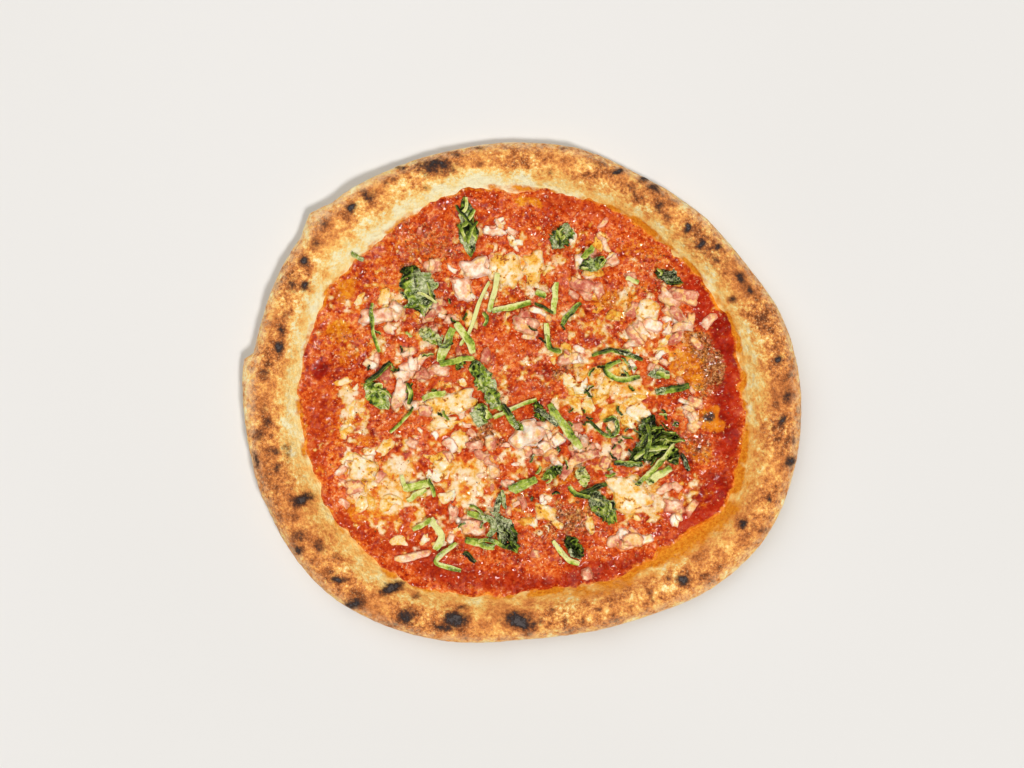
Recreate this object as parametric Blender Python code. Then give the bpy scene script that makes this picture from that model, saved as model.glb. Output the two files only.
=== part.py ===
"""A thin-crust pizza with tomato sauce, diced ham, melted cheese and basil, uncut and without its plate.

Blender 4.5, metres, +Z up. The pizza lies on its flat base, and the origin is the middle of its box
at the level of the base. +X is the pizza's long way across.
"""

import math

import bmesh
import bpy
from mathutils import Matrix, Vector, noise
from mathutils.bvhtree import BVHTree

MM = 0.001
GAP = 0.35 * MM

# Plan of the crust: radii every 15 degrees, anticlockwise from +X
OUTER_MM = (
    167.5, 163.5, 155.5, 152.0, 149.0, 150.5, 151.0, 152.0, 156.0, 161.5, 163.0, 162.5,
    164.5, 167.5, 168.0, 168.0, 162.0, 155.0, 148.5, 149.0, 154.5, 164.5, 170.5, 170.0,
)
SAUCE_MM = (
    132.5, 132.5, 128.5, 123.5, 124.0, 122.0, 123.0, 126.5, 127.0, 125.5, 131.5, 132.5,
    134.5, 135.0, 136.0, 136.0, 133.0, 126.0, 121.5, 120.0, 125.5, 129.5, 140.5, 137.0,
)
# The two places where the stretched dough sticks out: a corner, and a fold that starts at a step
CORNER_DEG, CORNER_HALF_DEG, CORNER_MM = 139.8, 5.0, 5.0
FOLD_DEG, FOLD_RISE_DEG, FOLD_FADE_DEG, FOLD_MM = 171.5, 1.5, 24.0, 5.0

# Section of the crust
CROWN_MM = 19.5
CROWN_WAVES = ((2, 0.8, 1.7), (5, 2.1, 1.3), (9, 0.3, 0.9), (14, 1.1, 0.5))
CROWN_AT = 0.45
BELLY_AT = 0.42
UNDERCUT = 0.27
FLOOR = 4.0 * MM
FOOT_INSIDE_SAUCE = 7.0 * MM
LUMP_HEIGHT = 1.3 * MM
LUMP_SIZE = 13.0 * MM
LUMPS_START, LUMPS_FULL = 3.0 * MM, 11.0 * MM

# Sauce
SAUCE_TOP = 6.2 * MM
SAUCE_EDGE = 0.9 * MM
SAUCE_CLIMB = 9.0 * MM
EDGE_INSET = 0.5 * MM
UNDERSIDE_INSET = FOOT_INSIDE_SAUCE + 1.5 * MM
RELIEF_HEIGHT = 0.75 * MM
RELIEF_SIZE = 9.0 * MM

# How finely the solids are faceted
CRUST_STEPS = 104
UNDER_STEPS, OUTSIDE_STEPS, INSIDE_STEPS = 4, 5, 8
SAUCE_GRID = 27
CHEESE_SIDES, HAM_SIDES, SMALL_CHEESE_SIDES, SMALL_HAM_SIDES = 14, 10, 8, 6
LEAF_CELLS = (6, 4)

# Toppings
CHEESE_RAGGED, HAM_RAGGED = 0.45, 0.35
SLAB_CHAMFER = 0.22
LEAF_THICKNESS = 0.9 * MM
SHRED_THICKNESS = 0.7 * MM
HAM_STRIP_THICKNESS = 2.0 * MM
LEAF_REACH, SHRED_REACH = 2.6 * MM, 2.2 * MM
SUNK = 1.2 * MM
ABOVE_ALL = 60.0 * MM

# Melted cheese: x, y, length, width, thickness in mm, and turn in degrees. The largest come first
CHEESES = (
    (-42.0, -5.4, 27, 16, 2.6, 15),
    (64.8, -61.0, 25, 17, 2.6, -42),
    (-9.6, 72.6, 20, 17, 2.8, 70),
    (6.8, 76.0, 17, 13, 2.2, 85),
    (-95.0, -46.5, 20, 13, 2.4, -38),
    (75.6, 50.5, 13, 10, 2.0, 20),
    (13.8, -71.6, 13, 10, 2.0, -20),
)
SMALL_CHEESES = (
    (-46.8, -17.5, 19, 7, 2.0, 8),
    (-37.8, -28.8, 14, 8, 2.0, 80),
    (47.0, 91.0, 10, 8, 1.8, 60),
    (-30.6, 43.5, 11, 7, 2.0, -62),
    (-82.5, 57.5, 10, 8, 2.0, 70),
    (-5.2, 90.5, 12, 4.5, 1.8, -62),
    (65.0, -15.0, 11, 8, 1.6, 80),
    (46.0, -2.0, 10, 8, 1.6, 10),
    (-81.0, -66.0, 10, 8, 1.4, 30),
    (40.8, -79.5, 12, 4.5, 1.8, 98),
)

# Diced ham, in the same order of numbers
HAMS = (
    (2.6, -25.0, 23, 13, 3.4, 36),
    (-28.4, 75.0, 17, 10, 3.8, 0),
    (-87.6, 46.4, 19, 9, 2.6, 6),
    (-30.0, -80.6, 15, 9, 3.0, 0),
    (98.0, 58.2, 16, 8, 2.8, -15),
    (2.4, 41.0, 16, 9, 2.6, -15),
    (36.0, 65.0, 15, 8, 2.8, -15),
    (-73.4, -0.5, 17, 8, 2.6, 72),
    (-65.4, -98.4, 23, 5, 2.6, 11),
    (91.0, -68.0, 13, 8, 3.2, -10),
    (-100.6, -56.5, 11, 8, 2.8, 10),
    (66.5, -88.2, 14, 8, 2.6, 0),
    (71.8, 37.4, 14, 6, 2.6, -52),
)
SMALL_HAMS = (
    (-53.8, 76.0, 11, 9, 2.8, 20),
    (28.0, 20.6, 13, 7, 2.8, 10),
    (-35.8, 62.4, 11, 8, 3.4, 100),
    (-17.4, 97.2, 9, 5, 2.6, -5),
    (101.6, 43.4, 10, 5, 2.8, 80),
    (-50.0, 50.0, 9, 7, 2.6, -40),
    (104.4, -5.6, 9, 6, 2.4, -25),
    (103.8, -18.8, 9, 7, 2.6, 60),
    (-21.6, 22.6, 9, 6, 2.8, 80),
    (50.0, -42.0, 8, 6, 2.8, 70),
    (39.0, -109.3, 6.5, 6.5, 3.2, 5),
    (55.6, -88.8, 8, 7, 2.2, 20),
    (17.0, -36.8, 8, 7, 3.0, 30),
    (-58.2, -10.4, 8, 7, 2.6, 10),
    (-28.8, -31.8, 9, 6, 2.4, 15),
    (-41.2, -73.0, 10, 6, 3.0, 100),
    (105.2, 29.6, 9, 5, 2.4, -45),
    (-82.0, 10.0, 8, 7, 2.4, 40),
    (-18.0, -46.0, 8, 6, 2.2, 60),
    (-107.0, -66.0, 8, 4, 2.2, -40),
    (-56.0, 12.0, 9, 6, 2.0, 30),
    (66.0, 70.0, 7, 5, 2.0, 10),
    (-66.0, -30.0, 7, 5, 2.0, -30),
    (8.0, -97.0, 6, 5, 1.8, 0),
)

# Wilted basil leaves, the last number but one being the height of their ruffles
LEAVES = (
    (80.6, -30.4, 28, 19, 2.6, 18),
    (-32.6, 99.2, 35, 12, 1.8, 96),
    (-63.4, 61.2, 29, 22, 2.4, 110),
    (-23.4, 8.6, 27, 13, 2.0, 118),
    (-9.0, -84.4, 26, 11, 2.0, -62),
    (48.2, -68.4, 24, 13, 2.2, -50),
    (-87.0, -1.6, 21, 13, 1.6, 132),
    (31.2, -93.0, 16, 10, 2.0, -58),
    (24.0, 94.0, 17, 13, 2.2, 60),
    (88.4, 69.4, 17, 9, 2.0, -22),
    (-24.6, -13.4, 14, 12, 1.6, 80),
    (18.0, -48.0, 14, 7, 2.0, 32),
    (-54.8, 34.0, 16, 8, 1.8, -35),
    (42.6, 77.4, 16, 9, 2.0, 15),
    (36.6, -50.6, 12, 8, 1.8, 100),
)

# Basil cut into shreds: the width in mm, then the points that each runs through
SHREDS = (
    (4.8, (16.6, -6.4), (25.8, -20.6), (35.4, -33.4)),
    (5.0, (-41.6, 39.0), (-45.6, 29.0), (-49.2, 18.6)),
    (3.5, (-18.0, 49.8), (-6.6, 52.0), (5.2, 54.6)),
    (3.6, (20.4, 66.6), (19.6, 57.0), (18.6, 47.6)),
    (3.0, (34.8, 54.6), (29.6, 48.4), (23.6, 41.0)),
    (3.0, (59.4, 19.6), (50.6, 14.0), (58.8, 8.0), (71.0, 9.8)),
    (2.6, (40.6, -17.0), (50.4, -25.4), (56.6, -22.6), (55.0, -15.6), (49.2, -16.8)),
    (4.2, (80.6, 0.2), (90.6, 2.6), (100.6, 4.2)),
    (2.4, (-17.0, -14.6), (-4.2, -9.2), (8.8, -3.6)),
    (4.6, (-71.6, -57.0), (-63.0, -55.6), (-54.4, -54.4)),
    (4.2, (-55.0, -75.4), (-48.8, -86.0), (-52.0, -94.2)),
    (2.8, (-39.0, -90.6), (-51.6, -101.6), (-36.6, -106.6)),
    (3.4, (-17.4, -73.4), (-14.0, -66.0), (-11.6, -60.0)),
    (5.6, (-8.0, -57.8), (0.6, -55.8), (9.0, -52.2)),
    (3.0, (-79.2, 18.6), (-87.0, 11.6), (-94.4, 6.6)),
    (4.6, (75.0, -53.6), (82.0, -49.6), (89.6, -45.2)),
    (3.2, (14.6, 42.0), (15.2, 33.6), (16.2, 27.4)),
    (3.0, (18.9, -88.7), (25.6, -98.4), (34.6, -102.6)),
    (4.4, (-34.3, -88.7), (-25.0, -91.0), (-16.7, -93.3)),
    (4.0, (-33.0, -72.2), (-20.4, -75.0), (-16.6, -81.4), (-20.6, -86.4)),
    (3.0, (55.4, -41.8), (64.0, -42.6), (72.4, -43.0)),
    (3.0, (90.0, -35.2), (78.6, -46.0), (69.8, -54.8)),
)

# The curled strip of ham beside the middle, given as the shreds are
HAM_STRIPS = ((5.2, (24.0, -51.4), (28.8, -43.2), (37.0, -38.6), (46.2, -36.0)),)


def between(a, b, c, d, share):
    """A point on the smooth curve through a, b, c and d, this share of the way from b to c."""
    bend = 2 * a - 5 * b + 4 * c - d
    turn = 3 * (b - c) + d - a
    return b + 0.5 * share * (c - a + share * (bend + share * turn))


def around(values, angle):
    """The value at this angle in radians, on a smooth curve through evenly spaced ones."""
    place = (angle / math.tau) % 1.0 * len(values)
    first = int(place)
    near = (values[(first + step) % len(values)] for step in (-1, 0, 1, 2))
    return between(*near, place - first)


def at(angle, radius, height):
    return Vector((radius * math.cos(angle), radius * math.sin(angle), height))


def outer_radius(angle):
    degrees = math.degrees(angle) % 360
    corner = max(0.0, 1 - abs(degrees - CORNER_DEG) / CORNER_HALF_DEG)
    after = degrees - FOLD_DEG
    fold = 0.0
    if 0 < after < FOLD_FADE_DEG:
        fold = min(1.0, after / FOLD_RISE_DEG) * (0.5 + 0.5 * math.cos(math.pi * after / FOLD_FADE_DEG))
    return (around(OUTER_MM, angle) + CORNER_MM * corner + FOLD_MM * fold) * MM


def sauce_radius(angle):
    return around(SAUCE_MM, angle) * MM


def crown_height(angle):
    waves = sum(size * math.sin(count * angle + phase) for count, phase, size in CROWN_WAVES)
    return (CROWN_MM + waves) * MM


def ramp(share):
    """From 0 to 1, level at both ends."""
    return 0.5 - 0.5 * math.cos(math.pi * min(1.0, max(0.0, share)))


def rim_places(angle):
    """Radii of the crust's foot, crown and outside at this angle."""
    edge = sauce_radius(angle)
    plain = around(OUTER_MM, angle) * MM
    crown = plain - CROWN_AT * (plain - edge)
    return edge - FOOT_INSIDE_SAUCE, crown, outer_radius(angle)


def inner_slope(angle, radius):
    """Height of the crust between its floor and its crown."""
    foot, crown, _ = rim_places(angle)
    return FLOOR + (crown_height(angle) - FLOOR) * ramp((radius - foot) / (crown - foot))


def crust_section(angle):
    """Points of the crust's section, from the edge of its base round the outside and down to the floor."""
    foot, crown, outside = rim_places(angle)
    top = crown_height(angle)
    belly = BELLY_AT * top
    under = UNDERCUT * (outside - foot)
    points = []
    for step in range(UNDER_STEPS):
        turn = math.radians(90) * (1 - step / UNDER_STEPS)
        points.append(at(angle, outside - under * (1 - math.cos(turn)), belly * (1 - math.sin(turn))))
    for step in range(OUTSIDE_STEPS):
        turn = math.radians(90) * step / OUTSIDE_STEPS
        radius = outside - (outside - crown) * (1 - math.cos(turn))
        points.append(at(angle, radius, belly + (top - belly) * math.sin(turn)))
    for step in range(INSIDE_STEPS + 1):
        radius = crown + (foot - crown) * step / INSIDE_STEPS
        points.append(at(angle, radius, inner_slope(angle, radius)))
    return points


def lumpy(point, angle):
    """Moves a point of the crust out or in by its lumps, which fade out towards the base and the sauce."""
    freedom = ramp((point.z - FLOOR - LUMPS_START) / (LUMPS_FULL - LUMPS_START))
    outward = at(angle, 1.0, 0.6).normalized()
    return point + outward * noise.noise(point / LUMP_SIZE) * LUMP_HEIGHT * freedom


def link(mesh, name, colour, roughness):
    """A named object with its own material, in the collection of the pizza."""
    material = bpy.data.materials.new(name)
    material.use_nodes = True
    shader = material.node_tree.nodes["Principled BSDF"]
    shader.inputs["Base Color"].default_value = (*colour, 1)
    shader.inputs["Roughness"].default_value = roughness
    shader.inputs["Metallic"].default_value = 0.0
    mesh.materials.append(material)
    piece = bpy.data.objects.new(name, mesh)
    PIZZA.objects.link(piece)
    return piece


def mesh_from(bm, name):
    bmesh.ops.recalc_face_normals(bm, faces=bm.faces[:])
    if bm.calc_volume(signed=True) < 0:
        bmesh.ops.reverse_faces(bm, faces=bm.faces[:])
    mesh = bpy.data.meshes.new(name)
    bm.to_mesh(mesh)
    bm.free()
    return mesh


def make_crust():
    """A loft of the crust's sections, which differ all the way round, closed by a flat base and floor."""
    bm = bmesh.new()
    rings = []
    for step in range(CRUST_STEPS):
        angle = math.tau * step / CRUST_STEPS
        rings.append([bm.verts.new(lumpy(point, angle)) for point in crust_section(angle)])
    for here, after in zip(rings, rings[1:] + rings[:1]):
        for k in range(len(here) - 1):
            bm.faces.new((here[k], after[k], after[k + 1], here[k + 1]))
    bm.faces.new([ring[0] for ring in reversed(rings)])
    bm.faces.new([ring[-1] for ring in rings])
    return link(mesh_from(bm, "crust"), "crust", (0.72, 0.45, 0.19), 0.7)


def sauce_height(x, y):
    """Height of the sauce's bare top."""
    angle = math.atan2(y, x)
    radius = math.hypot(x, y)
    edge = sauce_radius(angle)
    rim = inner_slope(angle, edge) + SAUCE_EDGE
    climb = ramp((radius - edge + SAUCE_CLIMB) / SAUCE_CLIMB)
    place = Vector((x, y, 0)) / RELIEF_SIZE
    relief = noise.noise(place) + 0.5 * noise.noise(place * 2.3)
    return SAUCE_TOP + (rim - SAUCE_TOP) * climb + RELIEF_HEIGHT * relief * (1 - climb)


def disc_place(a, b):
    """(share of the radius, angle) for a point of a square from -1 to 1, so that its grid fills a disc evenly."""
    share = max(abs(a), abs(b))
    if share == 0:
        return 0.0, 0.0
    if abs(a) >= abs(b):
        turn = math.pi / 4 * b / a + (math.pi if a < 0 else 0)
    else:
        turn = math.pi / 2 - math.pi / 4 * a / b + (math.pi if b < 0 else 0)
    return share, turn


def make_sauce():
    """A grid spread over the disc of the sauce, with its edge turned down to the crust and a flat underside."""
    bm = bmesh.new()
    bmesh.ops.create_grid(bm, x_segments=SAUCE_GRID, y_segments=SAUCE_GRID, size=1)
    for vert in bm.verts:
        share, turn = disc_place(vert.co.x, vert.co.y)
        vert.co = at(turn, share * sauce_radius(turn), 0)
        vert.co.z = sauce_height(vert.co.x, vert.co.y)
    bmesh.ops.recalc_face_normals(bm, faces=bm.faces[:])
    if bm.faces[0].normal.z < 0:
        bmesh.ops.reverse_faces(bm, faces=bm.faces[:])
    rim = [edge for edge in bm.edges if edge.is_boundary]
    for inset in (EDGE_INSET, UNDERSIDE_INSET):
        made = bmesh.ops.extrude_edge_only(bm, edges=rim)["geom"]
        for vert in (item for item in made if isinstance(item, bmesh.types.BMVert)):
            angle = math.atan2(vert.co.y, vert.co.x)
            radius = sauce_radius(angle) - inset
            vert.co = at(angle, radius, inner_slope(angle, radius) + GAP)
        rim = [item for item in made if isinstance(item, bmesh.types.BMEdge) and item.is_boundary]
    bmesh.ops.contextual_create(bm, geom=rim)
    return link(mesh_from(bm, "sauce"), "sauce", (0.55, 0.06, 0.02), 0.35)


def tree_of(mesh):
    bm = bmesh.new()
    bm.from_mesh(mesh)
    tree = BVHTree.FromBMesh(bm)
    bm.free()
    return tree


def height_under(x, y, reach):
    """The highest point of what is already there, under a disc of this radius."""
    middle = Vector((x, y, ABOVE_ALL))
    starts = [middle]
    for share in (0.5, 1.0):
        starts += [middle + at(math.tau * k / 8, share * reach, 0) for k in range(8)]
    down = Vector((0, 0, -1))
    hits = [tree.ray_cast(start, down)[0] for start in starts for tree in PLACED]
    return max(hit.z for hit in hits if hit)


def turned(x, y, degrees, along, across):
    """Where a point of a topping lies in plan, from its place in mm and its turn."""
    turn = math.radians(degrees)
    px = x + along * math.cos(turn) - across * math.sin(turn)
    py = y + along * math.sin(turn) + across * math.cos(turn)
    return px * MM, py * MM


def lumpy_slab(spec, seed, sides, ragged):
    """A flat piece with an uneven outline, its underside following what it lies on and its rim chamfered."""
    x, y, length, width, thick, turn = spec
    bm = bmesh.new()
    bmesh.ops.create_cone(bm, cap_ends=True, cap_tris=True, segments=sides, radius1=1, radius2=1, depth=1)
    top_rim = [
        edge
        for edge in bm.edges
        if all(vert.co.z > 0 and vert.co.xy.length > 0.5 for vert in edge.verts)
    ]
    bmesh.ops.bevel(bm, geom=top_rim, offset=SLAB_CHAMFER, segments=1, profile=0.5, affect="EDGES")
    middle = height_under(x * MM, y * MM, 0.3 * width * MM) + GAP
    for vert in bm.verts:
        level = 0.5 + vert.co.z
        spread = vert.co.xy.length
        angle = math.atan2(vert.co.y, vert.co.x)
        swell = 1 + ragged * noise.noise(at(angle, 2.2, seed * 7.3))
        along = spread * swell * math.cos(angle) * length / 2
        across = spread * swell * math.sin(angle) * width / 2
        px, py = turned(x, y, turn, along, across)
        under = height_under(px, py, 0.16 * width * MM * (1 + spread)) + GAP
        dent = 0.25 * noise.noise(Vector((px, py, seed * MM)) / (4 * MM))
        top = max(under + 0.5 * thick * level * MM, middle + thick * (level + dent) * MM)
        vert.co = (px, py, top if level > 0 else under)
    return mesh_from(bm, "slab")


def thicken(bm, thickness):
    """Makes a sheet a solid whose two faces are split into triangles alike."""
    bmesh.ops.triangulate(bm, faces=bm.faces[:])
    made = bmesh.ops.extrude_face_region(bm, geom=bm.faces[:], use_keep_orig=True)["geom"]
    for vert in (item for item in made if isinstance(item, bmesh.types.BMVert)):
        vert.co.z += thickness


def make_leaf(spec, seed):
    """A wilted leaf: a pointed sheet in ruffles."""
    x, y, length, width, ruffle, turn = spec
    bm = bmesh.new()
    bmesh.ops.create_grid(bm, x_segments=LEAF_CELLS[0], y_segments=LEAF_CELLS[1], size=1)
    for vert in bm.verts:
        along, across = vert.co.x, vert.co.y
        swell = 1 - 0.88 * abs(along) ** 2.2
        swell *= 1 + 0.25 * noise.noise(Vector((along * 2, across, seed * 3.1)))
        px, py = turned(x, y, turn, along * length / 2, across * swell * width / 2)
        wave = 0.5 + 0.5 * math.sin(4.2 * along + 2.6 * across * math.cos(seed) + seed)
        vert.co = (px, py, height_under(px, py, LEAF_REACH) + GAP + ruffle * MM * wave)
    thicken(bm, LEAF_THICKNESS)
    return mesh_from(bm, "leaf")


def smooth_route(points, count):
    """Points at even steps on a smooth line through the ones given."""
    ends = [Vector(point) for point in (points[0], *points, points[-1])]
    route = []
    for k in range(count):
        place = k / (count - 1) * (len(points) - 1)
        first = min(int(place), len(points) - 2)
        route.append(between(*ends[first : first + 4], place - first))
    return route


def make_strip(spec, seed, thickness):
    """A ribbon of basil or ham, narrower at its ends, slightly troughed and wavy."""
    width, *points = spec
    count = 4 * len(points) - 3
    route = smooth_route(points, count)
    bm = bmesh.new()
    bmesh.ops.create_grid(bm, x_segments=count - 1, y_segments=2, size=1)
    for vert in bm.verts:
        k = round((vert.co.x + 1) / 2 * (count - 1))
        ahead = (route[min(k + 1, count - 1)] - route[max(k - 1, 0)]).normalized()
        taper = 0.72 + 0.28 * math.sin(math.pi * (k + 0.6) / (count + 0.2))
        px, py = (route[k] + Vector((-ahead.y, ahead.x)) * vert.co.y * taper * width / 2) * MM
        wave = (0.35 + 0.35 * math.sin(1.9 * k + seed) + 0.5 * abs(vert.co.y)) * MM
        vert.co = (px, py, height_under(px, py, SHRED_REACH) + GAP + wave)
    thicken(bm, thickness)
    return mesh_from(bm, "strip")


def fuse(target, meshes):
    """Joins small pieces to the object that they lie on, by one union, and removes them."""
    loose = bpy.data.collections.new("loose_bits")
    bpy.context.scene.collection.children.link(loose)
    for mesh in meshes:
        loose.objects.link(bpy.data.objects.new("bit", mesh))
    union = target.modifiers.new("union", "BOOLEAN")
    union.operation = "UNION"
    union.operand_type = "COLLECTION"
    union.collection = loose
    union.solver = "EXACT"
    bpy.context.view_layer.update()
    whole = bpy.data.meshes.new_from_object(target.evaluated_get(bpy.context.evaluated_depsgraph_get()))
    target.modifiers.clear()
    target.data = whole
    for bit in list(loose.objects):
        bpy.data.objects.remove(bit)
    bpy.data.collections.remove(loose)


def small_bits():
    """The bits of cheese and ham that are fused to the sauce, with their undersides sunk into it."""
    meshes = [
        lumpy_slab(spec, seed, SMALL_CHEESE_SIDES, CHEESE_RAGGED) for seed, spec in enumerate(SMALL_CHEESES, 60)
    ]
    meshes += [lumpy_slab(spec, seed, SMALL_HAM_SIDES, HAM_RAGGED) for seed, spec in enumerate(SMALL_HAMS, 80)]
    for mesh in meshes:
        for vert in mesh.vertices:
            if vert.co.z < height_under(vert.co.x, vert.co.y, SHRED_REACH) + 2 * GAP:
                vert.co.z -= SUNK
    return meshes


def centre_of(mesh):
    """Middle of this mesh's box in plan."""
    xs, ys, _ = zip(*(vert.co for vert in mesh.vertices))
    return Vector(((min(xs) + max(xs)) / 2, (min(ys) + max(ys)) / 2, 0))


for old in list(bpy.data.objects):
    bpy.data.objects.remove(old)
PIZZA = bpy.data.collections.new("pizza")
bpy.context.scene.collection.children.link(PIZZA)

crust = make_crust()
sauce = make_sauce()
PLACED = [tree_of(crust.data), tree_of(sauce.data)]
fuse(sauce, small_bits())
PLACED = [tree_of(crust.data), tree_of(sauce.data)]

CHEESE_COLOUR, HAM_COLOUR = (0.85, 0.66, 0.36), (0.80, 0.47, 0.38)
LEAF_COLOUR, SHRED_COLOUR = (0.05, 0.12, 0.03), (0.20, 0.36, 0.08)
made = [
    ("cheese", CHEESE_COLOUR, 0.45, CHEESES, lambda *given: lumpy_slab(*given, CHEESE_SIDES, CHEESE_RAGGED)),
    ("ham", HAM_COLOUR, 0.4, HAMS, lambda *given: lumpy_slab(*given, HAM_SIDES, HAM_RAGGED)),
    ("ham_strip", HAM_COLOUR, 0.4, HAM_STRIPS, lambda *given: make_strip(*given, HAM_STRIP_THICKNESS)),
    ("basil_leaf", LEAF_COLOUR, 0.35, LEAVES, make_leaf),
    ("basil_shred", SHRED_COLOUR, 0.4, SHREDS, lambda *given: make_strip(*given, SHRED_THICKNESS)),
]
for kind, colour, roughness, specs, make in made:
    for number, spec in enumerate(specs, 1):
        mesh = make(spec, number)
        PLACED.append(tree_of(mesh))
        link(mesh, f"{kind}_{number:02d}", colour, roughness)

middle = centre_of(crust.data)
for piece in PIZZA.objects:
    piece.data.transform(Matrix.Translation(-middle))
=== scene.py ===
"""The looks of a pizza with tomato sauce, diced ham, melted cheese and basil, seen from straight above.

Lists in mm are about the middle of the pizza in the photograph, and MIDDLE_MM is where the frame's origin
lies in them. Lists in pixels are about the upper left corner of the photograph, which is 1024 x 768.
"""

import itertools
import math

import bpy
import numpy as np
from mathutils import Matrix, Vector, noise


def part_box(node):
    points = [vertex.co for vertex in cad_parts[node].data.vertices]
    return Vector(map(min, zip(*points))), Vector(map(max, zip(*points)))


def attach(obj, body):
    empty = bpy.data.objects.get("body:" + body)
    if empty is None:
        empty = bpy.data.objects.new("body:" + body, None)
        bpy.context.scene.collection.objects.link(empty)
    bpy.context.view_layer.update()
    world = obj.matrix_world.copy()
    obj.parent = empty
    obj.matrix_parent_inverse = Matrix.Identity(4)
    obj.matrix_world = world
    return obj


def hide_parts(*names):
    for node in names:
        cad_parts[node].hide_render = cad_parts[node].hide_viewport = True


MM = 0.001
MM_PER_PIXEL = 0.6
PIZZA_PIXEL = np.array((522.0, 393.0))
IMAGE_MIDDLE_PIXEL = (512.0, 384.0)
IMAGE_WIDTH_PIXELS = 1024
MIDDLE_MM = np.array((-0.13, 0.385))

# The camera, and the lights: towards which direction, width in degrees, strength
LENS_MM, SENSOR_MM = 70, 36
KEY_LIGHT = ((0.42, -0.46, 1.15), 12, 2.22)
FILL_LIGHT = ((-0.55, 0.6, 1.0), 60, 1.46)
WORLD_STRENGTH = 0.2
FLOOR_HALF = 3.0

# Plan of the crust: radii every 15 degrees, anticlockwise from +X
OUTER_MM = (
    167.5, 163.5, 155.5, 152.0, 149.0, 150.5, 151.0, 152.0, 156.0, 161.5, 163.0, 162.5, 164.5, 167.5, 168.0,
    168.0, 162.0, 155.0, 148.5, 149.0, 154.5, 164.5, 170.5, 170.0,
)
SAUCE_MM = (
    132.5, 132.5, 128.5, 123.5, 124.0, 122.0, 123.0, 126.5, 127.0, 125.5, 131.5, 132.5, 134.5, 135.0, 136.0,
    136.0, 133.0, 126.0, 121.5, 120.0, 125.5, 129.5, 140.5, 137.0,
)
CORNER_DEG, CORNER_HALF_DEG, CORNER_MM = 139.8, 5.0, 5.0
FOLD_DEG, FOLD_RISE_DEG, FOLD_FADE_DEG, FOLD_MM = 171.5, 1.5, 24.0, 5.0

# Section of the crust
CROWN_MM = 19.5
CROWN_WAVES = ((2, 0.8, 1.7), (5, 2.1, 1.3), (9, 0.3, 0.9), (14, 1.1, 0.5))
CROWN_AT = 0.45
BELLY_AT = 0.42
UNDERCUT = 0.27
FLOOR = 4.0 * MM
FOOT_INSIDE_SAUCE = 7.0 * MM
LUMP_HEIGHT = 1.3 * MM
LUMP_SIZE = 13.0 * MM
LUMPS_START, LUMPS_FULL = 3.0 * MM, 11.0 * MM

# Sauce
SAUCE_TOP = 6.2 * MM
SAUCE_EDGE = 0.9 * MM
SAUCE_CLIMB = 9.0 * MM
RELIEF_HEIGHT = 0.75 * MM
RELIEF_SIZE = 9.0 * MM

# Small loose bits: x, y, half width and half height in pixels, how many, their size in mm and their tint
HAM_CROWDS = (
    (375, 313, 34, 18, 6, 6.2, 0.7), (437, 292, 22, 38, 10, 6.2, 0.55), (472, 272, 26, 24, 3, 6.0, 0.8),
    (405, 378, 44, 28, 16, 7.0, 0.5), (455, 425, 38, 28, 6, 6.2, 0.7), (474, 448, 28, 20, 6, 6.0, 0.7),
    (545, 440, 42, 28, 16, 6.6, 0.65), (606, 455, 40, 22, 10, 6.4, 0.6), (668, 316, 44, 34, 14, 8.6, 0.6),
    (686, 404, 12, 26, 7, 6.4, 0.6), (462, 522, 36, 20, 8, 6.2, 0.65), (532, 505, 26, 16, 5, 5.6, 0.6),
    (672, 500, 22, 20, 7, 6.6, 0.65), (636, 540, 28, 9, 4, 6.4, 0.7), (598, 245, 26, 30, 8, 5.8, 0.7),
    (580, 288, 22, 12, 3, 6.2, 0.4), (572, 356, 20, 10, 4, 5.8, 0.5), (526, 322, 26, 14, 5, 6.0, 0.6),
    (648, 352, 26, 22, 6, 6.0, 0.6), (440, 340, 34, 26, 8, 6.0, 0.5), (362, 482, 26, 24, 6, 6.0, 0.5),
    (500, 235, 26, 16, 4, 5.4, 0.8), (420, 250, 30, 20, 3, 4.6, 0.5), (495, 470, 30, 26, 7, 5.6, 0.6),
)
CHEESE_CROWDS = (
    (520, 266, 34, 24, 5, 7.4, 0.3), (388, 484, 50, 38, 13, 8.0, 0.35), (456, 480, 44, 28, 11, 7.6, 0.4),
    (606, 392, 40, 48, 16, 9.0, 0.45), (348, 412, 18, 42, 5, 6.6, 0.5), (640, 500, 30, 24, 4, 7.0, 0.45),
    (604, 298, 34, 20, 5, 6.8, 0.6), (545, 512, 32, 20, 5, 6.6, 0.4), (452, 400, 34, 24, 4, 6.6, 0.35),
    (596, 245, 26, 28, 4, 6.8, 0.4), (480, 330, 30, 40, 4, 6.2, 0.4), (560, 365, 40, 20, 4, 6.2, 0.45),
    (385, 300, 40, 34, 4, 6.0, 0.45), (640, 340, 40, 34, 6, 6.4, 0.5), (420, 530, 40, 20, 5, 6.0, 0.45),
)

# How finely the meshes are made
CRUST_STEPS = 880
UNDER_STEPS, OUTSIDE_STEPS, INSIDE_STEPS = 10, 22, 42
SAUCE_CELLS = 290
SLAB_SIDES, SLAB_RINGS = 64, 16
BIT_SIDES, BIT_RINGS = 24, 6
LEAF_ALONG, LEAF_ACROSS = 56, 34
STRIP_STEPS, THIN_STEPS, STRIP_ACROSS = 22, 8, 11
CELL = 0.5 * MM
HALF_PLAN = np.array((176.0, 162.0)) * MM

# Thickness of the soft pieces, how deep a slab's foot is sunk, and how far it spreads as a share of its own
LEAF_THICKNESS, SHRED_THICKNESS, THIN_THICKNESS, HAM_STRIP_THICKNESS = 0.35 * MM, 0.5 * MM, 0.4 * MM, 1.6 * MM
FOOT_SINK, FOOT_SPREAD = 0.5 * MM, 0.25

# A leaf is torn where its noise is above this, and a speck's middle is this far over what it lies on
TORN_FROM = 2.0
SPECK_COUNT, SPECK_LIFT = 15000, 0.12 * MM

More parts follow.
